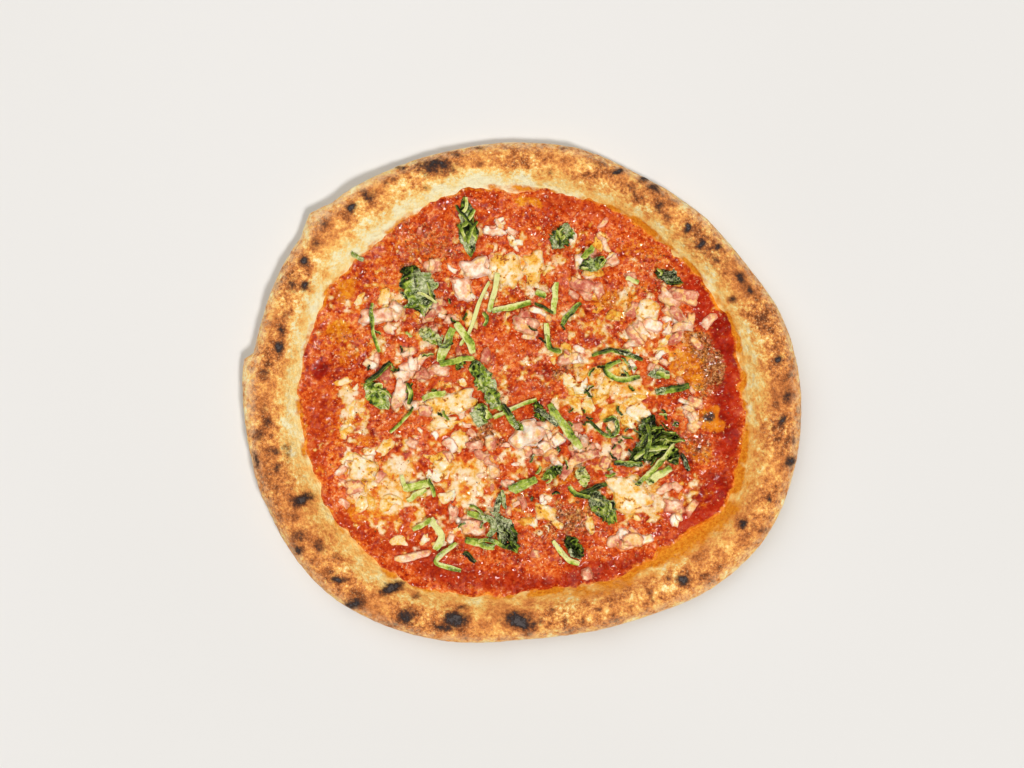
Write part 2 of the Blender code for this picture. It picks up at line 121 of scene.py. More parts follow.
# How torn a slab is, its lobes, how square its plan and its section are, and its share of corners and of bend
CHEESE_STYLE, MELT_STYLE = (0.55, 1.6, 2.2, 2.4, 0.5, 0), (0.6, 1.3, 2.2, 2.0, 0.3, 0.3)
HAM_STYLE, DICE_STYLE = (0.4, 1.5, 6.0, 4.0, 0.9, 0), (0.45, 1.3, 5.0, 3.4, 0.85, 0.25)

# Sides of the rim in degrees: where oil has run up its inside, and where its foot is amber
OILY_SIDE, AMBER_SIDE = 312, 0

# Melted cheese: x, y, length, width, thickness in mm, turn in degrees, and how yellow it is
CHEESES = (
    (-42.0, -5.4, 27, 16, 2.6, 15, 0.3), (64.8, -61.0, 25, 17, 2.6, -42, 0.4),
    (-9.6, 72.6, 20, 17, 2.8, 70, 0.4), (6.8, 76.0, 17, 13, 2.2, 85, 0.5),
    (-95.0, -46.5, 20, 13, 2.4, -38, 0.4), (75.6, 50.5, 13, 10, 2.0, 20, 0.3),
    (13.8, -71.6, 13, 10, 2.0, -20, 0.5),
)
SMALL_CHEESES = (
    (-46.8, -17.5, 19, 7, 2.0, 8, 0.4), (-37.8, -28.8, 14, 8, 2.0, 80, 0.4),
    (47.0, 91.0, 10, 8, 1.8, 60, 0.7), (-30.6, 43.5, 11, 7, 2.0, -62, 0.5),
    (-82.5, 57.5, 10, 8, 2.0, 70, 0.5), (-5.2, 90.5, 12, 4.5, 1.8, -62, 0.2),
    (65.0, -15.0, 11, 8, 1.6, 80, 0.8), (46.0, -2.0, 10, 8, 1.6, 10, 0.8),
    (-81.0, -66.0, 10, 8, 1.4, 30, 0.6), (40.8, -79.5, 12, 4.5, 1.8, 98, 0.5),
)

# Diced ham, in the same order of numbers, the last being how pale it is
HAMS = (
    (2.6, -25.0, 23, 13, 3.4, 36, 0.85), (-28.4, 75.0, 17, 12, 3.8, 10, 0.85),
    (-87.6, 46.4, 19, 9, 2.6, 6, 0.6), (-30.0, -80.6, 15, 9, 3.0, 0, 0.5), (98.0, 58.2, 16, 8, 2.8, -15, 0.3),
    (2.4, 41.0, 16, 9, 2.6, -15, 0.4), (36.0, 65.0, 15, 8, 2.8, -15, 0.2), (-73.4, -0.5, 17, 8, 2.6, 72, 0.7),
    (-65.4, -98.4, 23, 5, 2.6, 11, 0.6), (91.0, -68.0, 13, 8, 3.2, -10, 0.4),
    (-100.6, -56.5, 11, 8, 2.8, 10, 0.2), (66.5, -88.2, 14, 8, 2.6, 0, 0.4),
    (71.8, 37.4, 14, 6, 2.6, -52, 0.5),
)
SMALL_HAMS = (
    (-53.8, 76.0, 11, 9, 2.8, 20, 0.3), (28.0, 20.6, 13, 7, 2.8, 10, 0.4),
    (-35.0, 61.8, 15, 11, 3.0, 100, 0.8), (-17.0, 97.4, 12.5, 5.5, 2.6, -6, 1.0),
    (101.6, 43.4, 10, 5, 2.8, 80, 0.6), (-50.0, 50.0, 9, 7, 2.6, -40, 0.4),
    (104.4, -5.6, 9, 6, 2.4, -25, 0.5), (103.8, -18.8, 9, 7, 2.6, 60, 0.5), (-21.6, 22.6, 9, 6, 2.8, 80, 0.1),
    (50.0, -42.0, 8, 6, 2.8, 70, 0.3), (39.0, -109.3, 6.5, 6.5, 3.2, 5, 0.3),
    (55.6, -88.8, 8, 7, 2.2, 20, 0.5), (17.0, -36.8, 8, 7, 3.0, 30, 0.2), (21.6, -28.2, 8, 7, 3.0, 45, 1.0),
    (16.2, -20.4, 9, 6, 3.0, 50, 0.0), (13.2, -32.4, 8, 7, 2.8, 40, 0.9), (41.4, 72.0, 9, 6, 2.4, 20, 0.8),
    (-6.0, 97.0, 7, 4, 2.0, -30, 0.7), (-58.2, -10.4, 8, 7, 2.6, 10, 0.3), (-28.8, -31.8, 9, 6, 2.4, 15, 0.4),
    (-41.2, -73.0, 10, 6, 3.0, 100, 0.7), (105.2, 29.6, 9, 5, 2.4, -45, 0.3),
    (-82.0, 10.0, 8, 7, 2.4, 40, 0.2), (-18.0, -46.0, 8, 6, 2.2, 60, 0.5),
    (-107.0, -66.0, 8, 4, 2.2, -40, 0.6), (-56.0, 12.0, 9, 6, 2.0, 30, 0.4), (66.0, 70.0, 7, 5, 2.0, 10, 0.4),
    (-66.0, -30.0, 7, 5, 2.0, -30, 0.5), (8.0, -97.0, 6, 5, 1.8, 0, 0.4),
)

# Wilted leaves: x, y, length, width, ruffle in mm, turn in degrees, paleness, share under grated cheese
LEAVES = (
    (80.6, -30.4, 28, 19, 2.6, 18, 0.2, 0.4), (-32.6, 99.2, 35, 12, 1.8, 96, 0.3, 0.7),
    (-63.4, 61.2, 29, 22, 2.4, 110, 0.42, 0.85), (-23.4, 8.6, 27, 13, 2.0, 118, 0.38, 1.0),
    (-9.0, -84.4, 26, 11, 2.0, -62, 0.25, 0.65), (48.2, -68.4, 24, 13, 2.2, -50, 0.35, 0.5),
    (-87.0, -1.6, 21, 13, 1.6, 132, 0.55, 0.85), (31.2, -93.0, 16, 10, 2.0, -58, 0.15, 0.5),
    (24.0, 94.0, 17, 13, 2.2, 60, 0.25, 0.6), (88.4, 69.4, 17, 9, 2.0, -22, 0.1, 0.5),
    (-24.6, -13.4, 14, 12, 1.6, 80, 0.45, 0.85), (18.0, -48.0, 14, 7, 2.0, 32, 0.35, 0.7),
    (-54.8, 34.0, 16, 8, 1.8, -35, 0.7, 0.3), (42.6, 77.4, 16, 9, 2.0, 15, 0.3, 0.6),
    (36.6, -50.6, 12, 8, 1.8, 100, 0.85, 0.1),
)

LOOSE_LEAVES = (
    (-17.5, -3.5, 17, 9, 1.6, 125, 0.45, 0.75), (10.5, -11.0, 13, 7, 1.6, 110, 0.35, 0.1),
    (-3.0, -19.0, 10, 5, 1.4, -40, 0.6, 0.1), (-68.0, 74.0, 11, 5, 1.4, 12, 0.0, 0.0),
    (82.5, 11.5, 13, 7, 1.4, 5, 0.3, 0.9), (-37.0, 18.0, 9, 5, 1.4, 60, 0.3, 0.3),
    (75.0, -20.5, 17, 10, 1.8, 60, 0.05, 0.2), (90.0, -37.0, 14, 9, 1.8, -60, 0.1, 0.0),
    (71.0, -37.5, 14, 9, 1.8, 20, 0.1, 0.2),
)

# Places with fine dark basil, in pixels: x, y, half width and half height, and how many bits
BASIL_CROWDS = (
    (440, 396, 44, 26, 5), (424, 338, 34, 22, 5), (566, 462, 44, 22, 5), (480, 512, 40, 20, 4),
    (622, 374, 36, 24, 9), (624, 474, 46, 18, 7), (556, 330, 26, 26, 3), (536, 498, 40, 14, 4),
    (600, 410, 44, 40, 12), (382, 350, 22, 34, 4), (470, 300, 40, 24, 3), (652, 440, 34, 28, 14),
)

# Basil cut into shreds: the width in mm, the paleness, then the points that each runs through
SHREDS = (
    (4.8, 0.85, (16.6, -6.4), (25.8, -20.6), (35.4, -33.4)),
    (5.0, 0.9, (-41.6, 39.0), (-45.6, 29.0), (-49.2, 18.6)),
    (3.5, 0.75, (-18.0, 49.8), (-6.6, 52.0), (5.2, 54.6)),
    (3.6, 0.8, (20.4, 66.6), (19.6, 57.0), (18.6, 47.6)),
    (3.0, 0.35, (34.8, 54.6), (29.6, 48.4), (23.6, 41.0)),
    (3.0, 0.55, (59.4, 19.6), (50.6, 14.0), (58.8, 8.0), (71.0, 9.8)),
    (2.6, 0.45, (40.6, -17.0), (50.4, -25.4), (56.6, -22.6), (55.0, -15.6), (49.2, -16.8)),
    (4.2, 0.5, (80.6, 0.2), (90.6, 2.6), (100.6, 4.2)), (2.4, 1.0, (-17.0, -14.6), (-4.2, -9.2), (8.8, -3.6)),
    (4.6, 0.7, (-71.6, -57.0), (-63.0, -55.6), (-54.4, -54.4)),
    (4.2, 0.8, (-55.0, -75.4), (-48.8, -86.0), (-52.0, -94.2)),
    (2.8, 0.7, (-39.0, -90.6), (-51.6, -101.6), (-36.6, -106.6)),
    (3.4, 0.35, (-17.4, -73.4), (-14.0, -66.0), (-11.6, -60.0)),
    (5.6, 0.75, (-8.0, -57.8), (0.6, -55.8), (9.0, -52.2)),
    (3.0, 0.4, (-79.2, 18.6), (-87.0, 11.6), (-94.4, 6.6)),
    (4.4, 0.95, (75.0, -53.6), (82.0, -49.6), (89.6, -45.2)),
    (3.2, 0.6, (14.6, 42.0), (15.2, 33.6), (16.2, 27.4)),
    (3.0, 0.85, (18.9, -88.7), (25.6, -98.4), (34.6, -102.6)),
    (4.4, 0.6, (-34.3, -88.7), (-25.0, -91.0), (-16.7, -93.3)),
    (4.0, 0.65, (-33.0, -72.2), (-20.4, -75.0), (-16.6, -81.4), (-20.6, -86.4)),
    (3.0, 0.45, (55.4, -41.8), (64.0, -42.6), (72.4, -43.0)),
    (3.0, 0.75, (90.0, -35.2), (78.6, -46.0), (69.8, -54.8)),
)
HAM_STRIPS = ((5.2, 0.6, (24.0, -51.4), (28.8, -43.2), (37.0, -38.6), (46.2, -36.0)),)

# More shreds in pixels: the width in mm, the paleness, then the points that each runs through
THIN_SHREDS_PIXELS = (
    (3.2, 0.95, (498, 273), (495, 292), (489, 312)),
    (2.0, 0.9, (489, 281), (478, 306), (470, 330), (461, 346)), (3.4, 0.6, (536, 291), (546, 296)),
    (2.8, 0.55, (547, 335), (551, 349), (562, 351)), (1.8, 0.4, (535, 304), (544, 307), (553, 313)),
    (2.2, 0.75, (371, 303), (373, 318), (373, 332), (379, 352)),
    (2.6, 0.55, (407, 383), (410, 393), (409, 404)), (3.4, 0.7, (446, 393), (434, 395), (422, 398)),
    (1.6, 0.35, (413, 407), (404, 419), (390, 433)), (4.6, 0.75, (456, 323), (466, 336), (474, 353)),
    (3.4, 0.6, (440, 365), (456, 361), (474, 357)), (3.0, 0.15, (536, 409), (547, 416), (558, 426)),
    (2.4, 0.4, (592, 355), (606, 351), (620, 352), (643, 360)),
    (2.6, 0.75, (402, 475), (404, 484), (409, 491)), (2.8, 0.6, (407, 501), (416, 494), (426, 489)),
    (2.4, 0.4, (428, 479), (432, 487), (435, 497)), (2.8, 0.8, (413, 531), (422, 526), (431, 519)),
    (2.8, 0.3, (464, 553), (469, 557), (475, 563)), (2.0, 0.6, (502, 490), (504, 500), (505, 509)),
    (3.2, 0.1, (574, 496), (590, 490), (606, 483)), (2.6, 0.3, (570, 486), (574, 493), (590, 497)),
    (2.6, 0.8, (626, 278), (633, 281), (639, 283)), (3.6, 0.7, (582, 258), (588, 252), (594, 247)),
    (2.6, 0.15, (682, 454), (686, 462), (690, 471)), (4.0, 0.5, (503, 404), (510, 414), (516, 429)),
    (2.4, 0.6, (352, 253), (357, 257), (363, 260)), (3.6, 0.6, (656, 373), (663, 375), (670, 376)),
    (2.0, 0.35, (484, 312), (487, 318), (484, 326)), (1.8, 0.6, (419, 333), (427, 336), (431, 330)),
    (2.2, 0.5, (438, 343), (446, 347), (450, 341)), (2.8, 0.8, (634, 459), (648, 449), (668, 447)),
    (2.0, 0.55, (646, 424), (650, 440), (644, 458)), (2.0, 0.9, (655, 466), (664, 456), (674, 444)),
    (1.8, 0.55, (470, 505), (480, 512), (486, 522)), (2.2, 0.3, (478, 540), (492, 540), (506, 548)),
)

# Char spots on the rim, in pixels: x, y, width, height, turn in degrees, and how black
CHAR_SPOTS_PIXELS = (
    (435, 167, 38, 17, 0, 0.75), (402, 169, 14, 7, 20, 0.7), (388, 185, 8, 6, 0, 0.5),
    (397, 183, 7, 6, 0, 0.5), (426, 188, 7, 4, 0, 0.5), (456, 155, 16, 4, 5, 0.5), (478, 149, 18, 4, 0, 0.5),
    (480, 165, 6, 7, 0, 0.5), (352, 209, 10, 8, 0, 0.9), (370, 197, 15, 13, 30, 0.6),
    (324, 224, 14, 14, 0, 0.4), (316, 243, 12, 14, 0, 0.4), (305, 262, 9, 10, 0, 0.9),
    (294, 285, 10, 16, 0, 0.55), (306, 286, 10, 10, 0, 0.8), (287, 314, 8, 10, 0, 0.5),
    (283, 331, 8, 12, 0, 0.65), (281, 347, 9, 12, 0, 0.95), (267, 374, 9, 10, 0, 0.5),
    (266, 408, 9, 12, 0, 0.4), (270, 420, 9, 8, 0, 0.5), (260, 434, 7, 12, 0, 0.5),
    (258, 459, 5, 16, -12, 0.7), (276, 452, 10, 9, 0, 0.55), (288, 450, 10, 16, 0, 0.45),
    (278, 466, 8, 9, 0, 0.6), (304, 498, 18, 11, -10, 0.95), (293, 514, 7, 5, 0, 0.5),
    (301, 536, 16, 18, 0, 0.45), (301, 549, 9, 9, 0, 0.75), (321, 547, 14, 11, 30, 0.6),
    (336, 556, 6, 6, 0, 0.5), (332, 571, 10, 8, 0, 0.4), (338, 578, 16, 7, 0, 0.85),
    (393, 587, 20, 11, -12, 1.0), (354, 602, 20, 12, -20, 0.8), (416, 597, 12, 6, 0, 0.5),
    (407, 614, 16, 14, 0, 0.9), (456, 618, 22, 13, -10, 1.0), (444, 628, 18, 7, 0, 0.8),
    (461, 606, 14, 5, -10, 0.5), (518, 620, 28, 13, 12, 1.0), (541, 620, 7, 7, 0, 0.45),
    (553, 610, 10, 5, 0, 0.4), (563, 620, 8, 8, 0, 0.4), (582, 619, 7, 6, 0, 0.45), (586, 602, 7, 3, 0, 0.5),
    (599, 609, 7, 5, 0, 0.5), (629, 606, 5, 4, 0, 0.4), (650, 593, 7, 5, 0, 0.5), (651, 599, 4, 6, 0, 0.4),
    (683, 579, 13, 9, 5, 1.0), (669, 578, 10, 6, 0, 0.5), (700, 575, 6, 5, 0, 0.5), (718, 567, 9, 5, 0, 0.4),
    (747, 548, 5, 5, 0, 0.4), (741, 523, 9, 10, 0, 0.8), (753, 526, 7, 5, 0, 0.4), (763, 529, 7, 6, 0, 0.45),
    (766, 499, 5, 6, 0, 0.7), (788, 461, 11, 12, 0, 0.85), (792, 440, 6, 8, 0, 0.5),
    (780, 420, 7, 9, 0, 0.75), (771, 424, 5, 6, 0, 0.4), (784, 397, 7, 12, 20, 0.7), (775, 404, 5, 7, 0, 0.5),
    (775, 360, 9, 9, 0, 0.9), (760, 318, 8, 8, 0, 0.5), (748, 291, 6, 12, -15, 0.8),
    (739, 279, 9, 11, 0, 0.8), (733, 300, 7, 7, 0, 0.75), (714, 259, 7, 8, 0, 0.6),
    (718, 248, 10, 8, -30, 0.75), (700, 245, 9, 10, 0, 0.85), (685, 230, 8, 9, 0, 0.95),
    (666, 218, 6, 7, 0, 0.5), (657, 209, 8, 10, 0, 0.7), (653, 190, 10, 12, 0, 0.8), (634, 188, 6, 7, 0, 0.5),
    (634, 197, 6, 7, 0, 0.5), (645, 179, 12, 5, -30, 0.8), (617, 172, 12, 7, -20, 0.95),
    (598, 164, 14, 9, 10, 0.4), (549, 174, 6, 6, 0, 0.5), (704, 248, 70, 24, 45, 0.3),
    (640, 192, 46, 18, 28, 0.22), (565, 151, 12, 4, 0, 0.4), (583, 177, 5, 6, 0, 0.3),
)

# How far the rim is baked from the sauce out, and how that shifts every 30 degrees on its inside and outside
BAKE_AT = (0.0, 0.12, 0.3, 0.5, 0.7, 0.87, 1.0)
BAKE = (0.22, 0.25, 0.38, 0.58, 0.64, 0.6, 0.46)
INSIDE_SHIFT = (0.0, 0.03, 0.0, -0.22, -0.15, -0.14, -0.09, 0.0, 0.06, 0.12, 0.14, 0.11)
OUTSIDE_SHIFT = (-0.04, -0.04, -0.08, 0.0, -0.11, -0.11, -0.05, -0.03, 0.0, 0.03, -0.06, -0.08)

# Fields of colour on the sauce, in pixels: x, y, half width, half height, turn in degrees, strength
CHEESE_FIELDS_PIXELS = (
    (450, 450, 130, 90, 0, 0.42), (620, 350, 96, 84, 0, 0.46), (405, 330, 84, 70, 0, 0.36),
    (520, 268, 80, 46, 0, 0.42), (600, 470, 100, 60, 0, 0.38), (540, 370, 50, 24, 0, 0.36),
    (355, 410, 17, 36, 0, 0.75), (385, 490, 40, 30, 25, 0.95), (362, 478, 20, 24, 0, 0.9),
    (405, 522, 30, 18, 0, 0.6), (470, 482, 36, 28, 0, 0.8), (472, 508, 30, 12, 0, 0.6),
    (612, 400, 42, 46, 0, 0.78), (588, 382, 32, 20, 0, 0.7), (640, 420, 22, 34, 0, 0.5),
    (540, 452, 32, 24, 0, 0.6), (507, 268, 26, 22, 0, 0.6), (533, 266, 20, 20, 0, 0.6),
    (600, 300, 34, 20, 0, 0.45), (660, 318, 40, 26, -20, 0.55), (442, 412, 40, 24, 0, 0.55),
    (430, 325, 30, 24, 0, 0.4), (395, 300, 30, 26, 0, 0.5), (520, 320, 24, 12, 0, 0.4),
    (562, 357, 26, 12, 0, 0.5), (640, 500, 32, 24, 0, 0.6), (548, 518, 30, 18, 0, 0.4),
    (592, 250, 24, 24, 0, 0.4), (480, 228, 26, 14, 0, 0.3), (420, 378, 26, 18, 0, 0.5),
    (680, 500, 20, 16, 0, 0.5), (635, 540, 22, 9, 0, 0.4), (602, 458, 32, 22, 0, 0.6),
    (500, 250, 20, 12, 0, 0.4), (690, 400, 22, 20, 0, 0.4), (574, 400, 26, 34, 0, 0.5),
    (385, 335, 24, 18, 0, 0.4), (450, 520, 24, 16, 0, 0.4),
)
OIL_FIELDS_PIXELS = (
    (688, 358, 15, 20, 0, 1.0), (697, 380, 14, 16, 0, 0.8), (712, 418, 12, 13, 0, 0.9),
    (697, 452, 14, 12, 0, 0.5), (345, 290, 10, 15, 0, 0.9), (340, 330, 13, 12, 0, 0.8),
    (528, 204, 16, 7, 0, 0.8), (612, 298, 26, 14, 0, 0.6), (630, 252, 20, 12, 0, 0.4),
    (343, 355, 14, 12, 0, 0.5), (395, 488, 8, 8, 0, 0.7), (565, 478, 18, 12, 0, 0.5),
    (692, 352, 18, 16, 0, 0.7), (600, 380, 22, 16, 0, 0.6), (640, 340, 22, 12, 0, 0.4),
    (350, 512, 8, 10, 0, 0.6), (700, 500, 22, 14, 0, 0.3), (420, 250, 24, 12, 0, 0.35),
    (660, 260, 24, 14, -40, 0.35), (372, 440, 12, 10, 0, 0.4), (345, 320, 40, 70, 0, 0.3),
    (390, 260, 50, 30, -30, 0.3), (335, 430, 24, 60, 0, 0.3),
)
# Darker red where the sauce lies deep; the large weak fields in the middle are painted shade among the
# toppings
DEEP_AND_SHADE_FIELDS_PIXELS = (
    (728, 390, 15, 90, 0, 1.0), (716, 318, 18, 40, 25, 0.95), (704, 510, 26, 42, -40, 0.95),
    (600, 573, 70, 13, 9, 0.7), (520, 583, 70, 12, 0, 0.7), (448, 572, 40, 14, -15, 0.7),
    (405, 550, 36, 16, -35, 0.6), (350, 300, 12, 18, 0, 0.4), (318, 372, 8, 8, 0, 1.0),
    (318, 430, 12, 56, -6, 0.55), (345, 525, 14, 20, -40, 0.6), (560, 203, 40, 10, -8, 0.5),
    (600, 216, 30, 10, -15, 0.4), (505, 345, 22, 16, 0, 0.3), (700, 290, 26, 18, -45, 0.8),
    (450, 545, 24, 12, 0, 0.4), (480, 420, 60, 44, 0, 0.42), (452, 400, 34, 36, 0, 0.5),
    (620, 400, 50, 50, 0, 0.42), (560, 470, 60, 26, 0, 0.45), (440, 500, 60, 30, 0, 0.35),
)
# Browned sauce; the wide weak field in the middle, at (520, 405), is painted shade
BROWN_AND_SHADE_FIELDS_PIXELS = (
    (700, 346, 16, 12, -30, 0.9), (713, 366, 11, 20, 10, 1.0), (703, 388, 12, 12, 0, 0.7),
    (566, 520, 28, 17, 0, 0.85), (562, 372, 16, 10, 0, 0.75), (711, 416, 5, 4, 0, 1.1),
    (500, 440, 15, 10, 0, 0.7), (428, 248, 32, 24, 0, 0.5), (395, 228, 24, 12, 0, 0.45),
    (690, 442, 26, 18, 0, 0.55), (622, 300, 26, 16, 0, 0.3), (545, 535, 18, 10, 0, 0.5),
    (485, 434, 15, 13, 0, 0.95), (655, 262, 18, 14, 0, 0.4), (620, 560, 24, 10, 0, 0.3),
    (500, 395, 14, 20, 0, 0.4), (520, 405, 64, 46, 0, 0.24), (460, 390, 24, 12, 0, 0.3),
    (530, 290, 30, 12, 0, 0.3), (400, 420, 26, 14, 0, 0.3),
)

SCORCHED_PIXELS = ((711, 416, 6, 5, 20, 1.1), (699, 449, 3, 3, 0, 0.9), (578, 502, 3, 2, 0, 0.8))


def srgb(red, green, blue):
    """A linear colour from the 0 to 255 values of a picture."""
    parts = (value / 255 for value in (red, green, blue))
    return tuple(part / 12.92 if part <= 0.04045 else ((part + 0.055) / 1.055) ** 2.4 for part in parts)


def from_plan(x, y):
    """Metres in the frame for a point in mm from the middle of the pizza in the photograph."""
    return (np.stack((np.asarray(x, float), np.asarray(y, float)), axis=-1) - MIDDLE_MM) * MM


def plan_of(x, y):
    """The plan's mm for a pixel of the photograph."""
    return (np.array((x, y)) - PIZZA_PIXEL) * (MM_PER_PIXEL, -MM_PER_PIXEL)


def from_pixels(x, y):
    return from_plan(*plan_of(x, y))


def turned(along, across, turn):
    """Both ways, after a turn in radians."""
    return along * np.cos(turn) - across * np.sin(turn), along * np.sin(turn) + across * np.cos(turn)


def hashed(cells, seed):
    """A fixed random number from 0 to 1 for each cell of a lattice."""
    x, y, z = (cells[..., axis] for axis in range(3))
    mixed = x * 73856093 ^ y * 19349663 ^ z * 83492791 ^ (seed * 40503 + 977)
    mixed = ((mixed ^ (mixed >> 13)) * 1274126177) & 0x7FFFFFFF
    return ((mixed ^ (mixed >> 15)) & 0xFFFF) / 65535


def grain(points, size, seed=0):
    """Smooth noise from -1 to 1 in lumps of about this size, for an array of points."""
    scaled = points / size
    cell = np.floor(scaled).astype(np.int64)
    part = scaled - cell
    part = part * part * (3 - 2 * part)
    total = np.zeros(points.shape[:-1])
    for corner in itertools.product((0, 1), repeat=3):
        weight = np.prod(np.where(corner, part, 1 - part), axis=-1)
        total += weight * hashed(cell + np.array(corner), seed)
    return total * 2 - 1


def soft_noise(points, size):
    """The smooth noise that the solids use, for an array of points."""
    flat = (points / size).reshape(-1, 3)
    return np.array([noise.noise(point) for point in flat]).reshape(points.shape[:-1])


def level(values, low, high):
    """0 below low, 1 above high, and smooth between them."""
    share = np.clip((values - low) / (high - low), 0, 1)
    return share * share * (3 - 2 * share)


def ramp(share):
    return 0.5 - 0.5 * np.cos(np.pi * np.clip(share, 0, 1))


def between(a, b, c, d, share):
    """A point on the smooth curve through a, b, c and d, this share of the way from b to c."""
    bend = 2 * a - 5 * b + 4 * c - d
    turn = 3 * (b - c) + d - a
    return b + 0.5 * share * (c - a + share * (bend + share * turn))


def around(values, angle):
    """The values at these angles in radians, on a smooth curve through evenly spaced ones."""
    values = np.asarray(values, float)
    place = (angle / math.tau) % 1.0 * len(values)
    first = np.floor(place).astype(int)
    near = (values[(first + step) % len(values)] for step in (-1, 0, 1, 2))
    return between(*near, place - first)


def outer_radius(angle):
    degrees = np.degrees(angle) % 360
    corner = np.clip(1 - np.abs(degrees - CORNER_DEG) / CORNER_HALF_DEG, 0, None)
    after = degrees - FOLD_DEG
    fade = 0.5 + 0.5 * np.cos(np.pi * np.clip(after / FOLD_FADE_DEG, 0, 1))
    fold = np.clip(after / FOLD_RISE_DEG, 0, 1) * fade
    return (around(OUTER_MM, angle) + CORNER_MM * corner + FOLD_MM * fold) * MM


def plain_radius(angle):
    """The outside of the crust without its corner and its fold."""
    return around(OUTER_MM, angle) * MM


def sauce_radius(angle):
    return around(SAUCE_MM, angle) * MM


def crown_height(angle):
    waves = sum(size * np.sin(count * angle + phase) for count, phase, size in CROWN_WAVES)
    return (CROWN_MM + waves) * MM


def rim_places(angle):
    """Radii of the crust's foot, crown and outside at these angles."""
    edge, plain = sauce_radius(angle), plain_radius(angle)
    return edge - FOOT_INSIDE_SAUCE, plain - CROWN_AT * (plain - edge), outer_radius(angle)


def inner_slope(angle, radius):
    """Height of the crust between its floor and its crown."""
    foot, crown, _ = rim_places(angle)
    return FLOOR + (crown_height(angle) - FLOOR) * ramp((radius - foot) / (crown - foot))


def degrees_from(angle, side):
    """How many degrees an angle in radians lies from a side."""
    return np.abs((np.degrees(angle) % 360 - side + 180) % 360 - 180)


def at(angle, radius, height):
    return np.stack(np.broadcast_arrays(radius * np.cos(angle), radius * np.sin(angle), height), axis=-1)


def to_frame(points):
    return points - np.array((*MIDDLE_MM * MM, 0))


def field(points, fields, blur=0.35, wobble=2.5 * MM):
    """How far each point lies in the named fields, from 0 to 1. Their edges are soft and uneven."""
    x, y = (points[..., axis] + wobble * grain(points, 7 * MM, 31 + axis) for axis in (0, 1))
    found = np.zeros(points.shape[:-1])
    for px, py, half_width, half_height, degrees, strength in fields:
        middle = from_pixels(px, py)
        along, across = turned(x - middle[0], y - middle[1], -math.radians(degrees))
        along /= half_width * MM_PER_PIXEL * MM
        across /= half_height * MM_PER_PIXEL * MM
        share = level(-np.hypot(along, across), -1 - blur, -1 + blur)
        found = np.maximum(found, share * strength)
    return found


def mesh_object(name, points, faces, masks=None):
    """A smooth-shaded object from arrays of points and faces, with an attribute for each mask."""
    mesh = bpy.data.meshes.new(name)
    mesh.from_pydata(points.reshape(-1, 3).tolist(), [], faces)
    mesh.shade_smooth()
    for key, values in (masks or {}).items():
        values = np.broadcast_to(values, points.shape[:-1]).ravel().astype(np.float32)
        mesh.attributes.new(key, "FLOAT", "POINT").data.foreach_set("value", values)
    piece = bpy.data.objects.new(name, mesh)
    bpy.context.scene.collection.objects.link(piece)
    return piece


def grid_faces(rows, columns, closed):
    """Quads of a grid of points, whose rows close on themselves or don't."""
    index = np.arange(rows * columns).reshape(rows, columns)
    ahead = np.roll(index, -1, axis=0) if closed else index[1:]
    here = index if closed else index[:-1]
    quads = np.stack((here[:, :-1], ahead[:, :-1], ahead[:, 1:], here[:, 1:]), axis=-1)
    return quads.reshape(-1, 4).tolist()


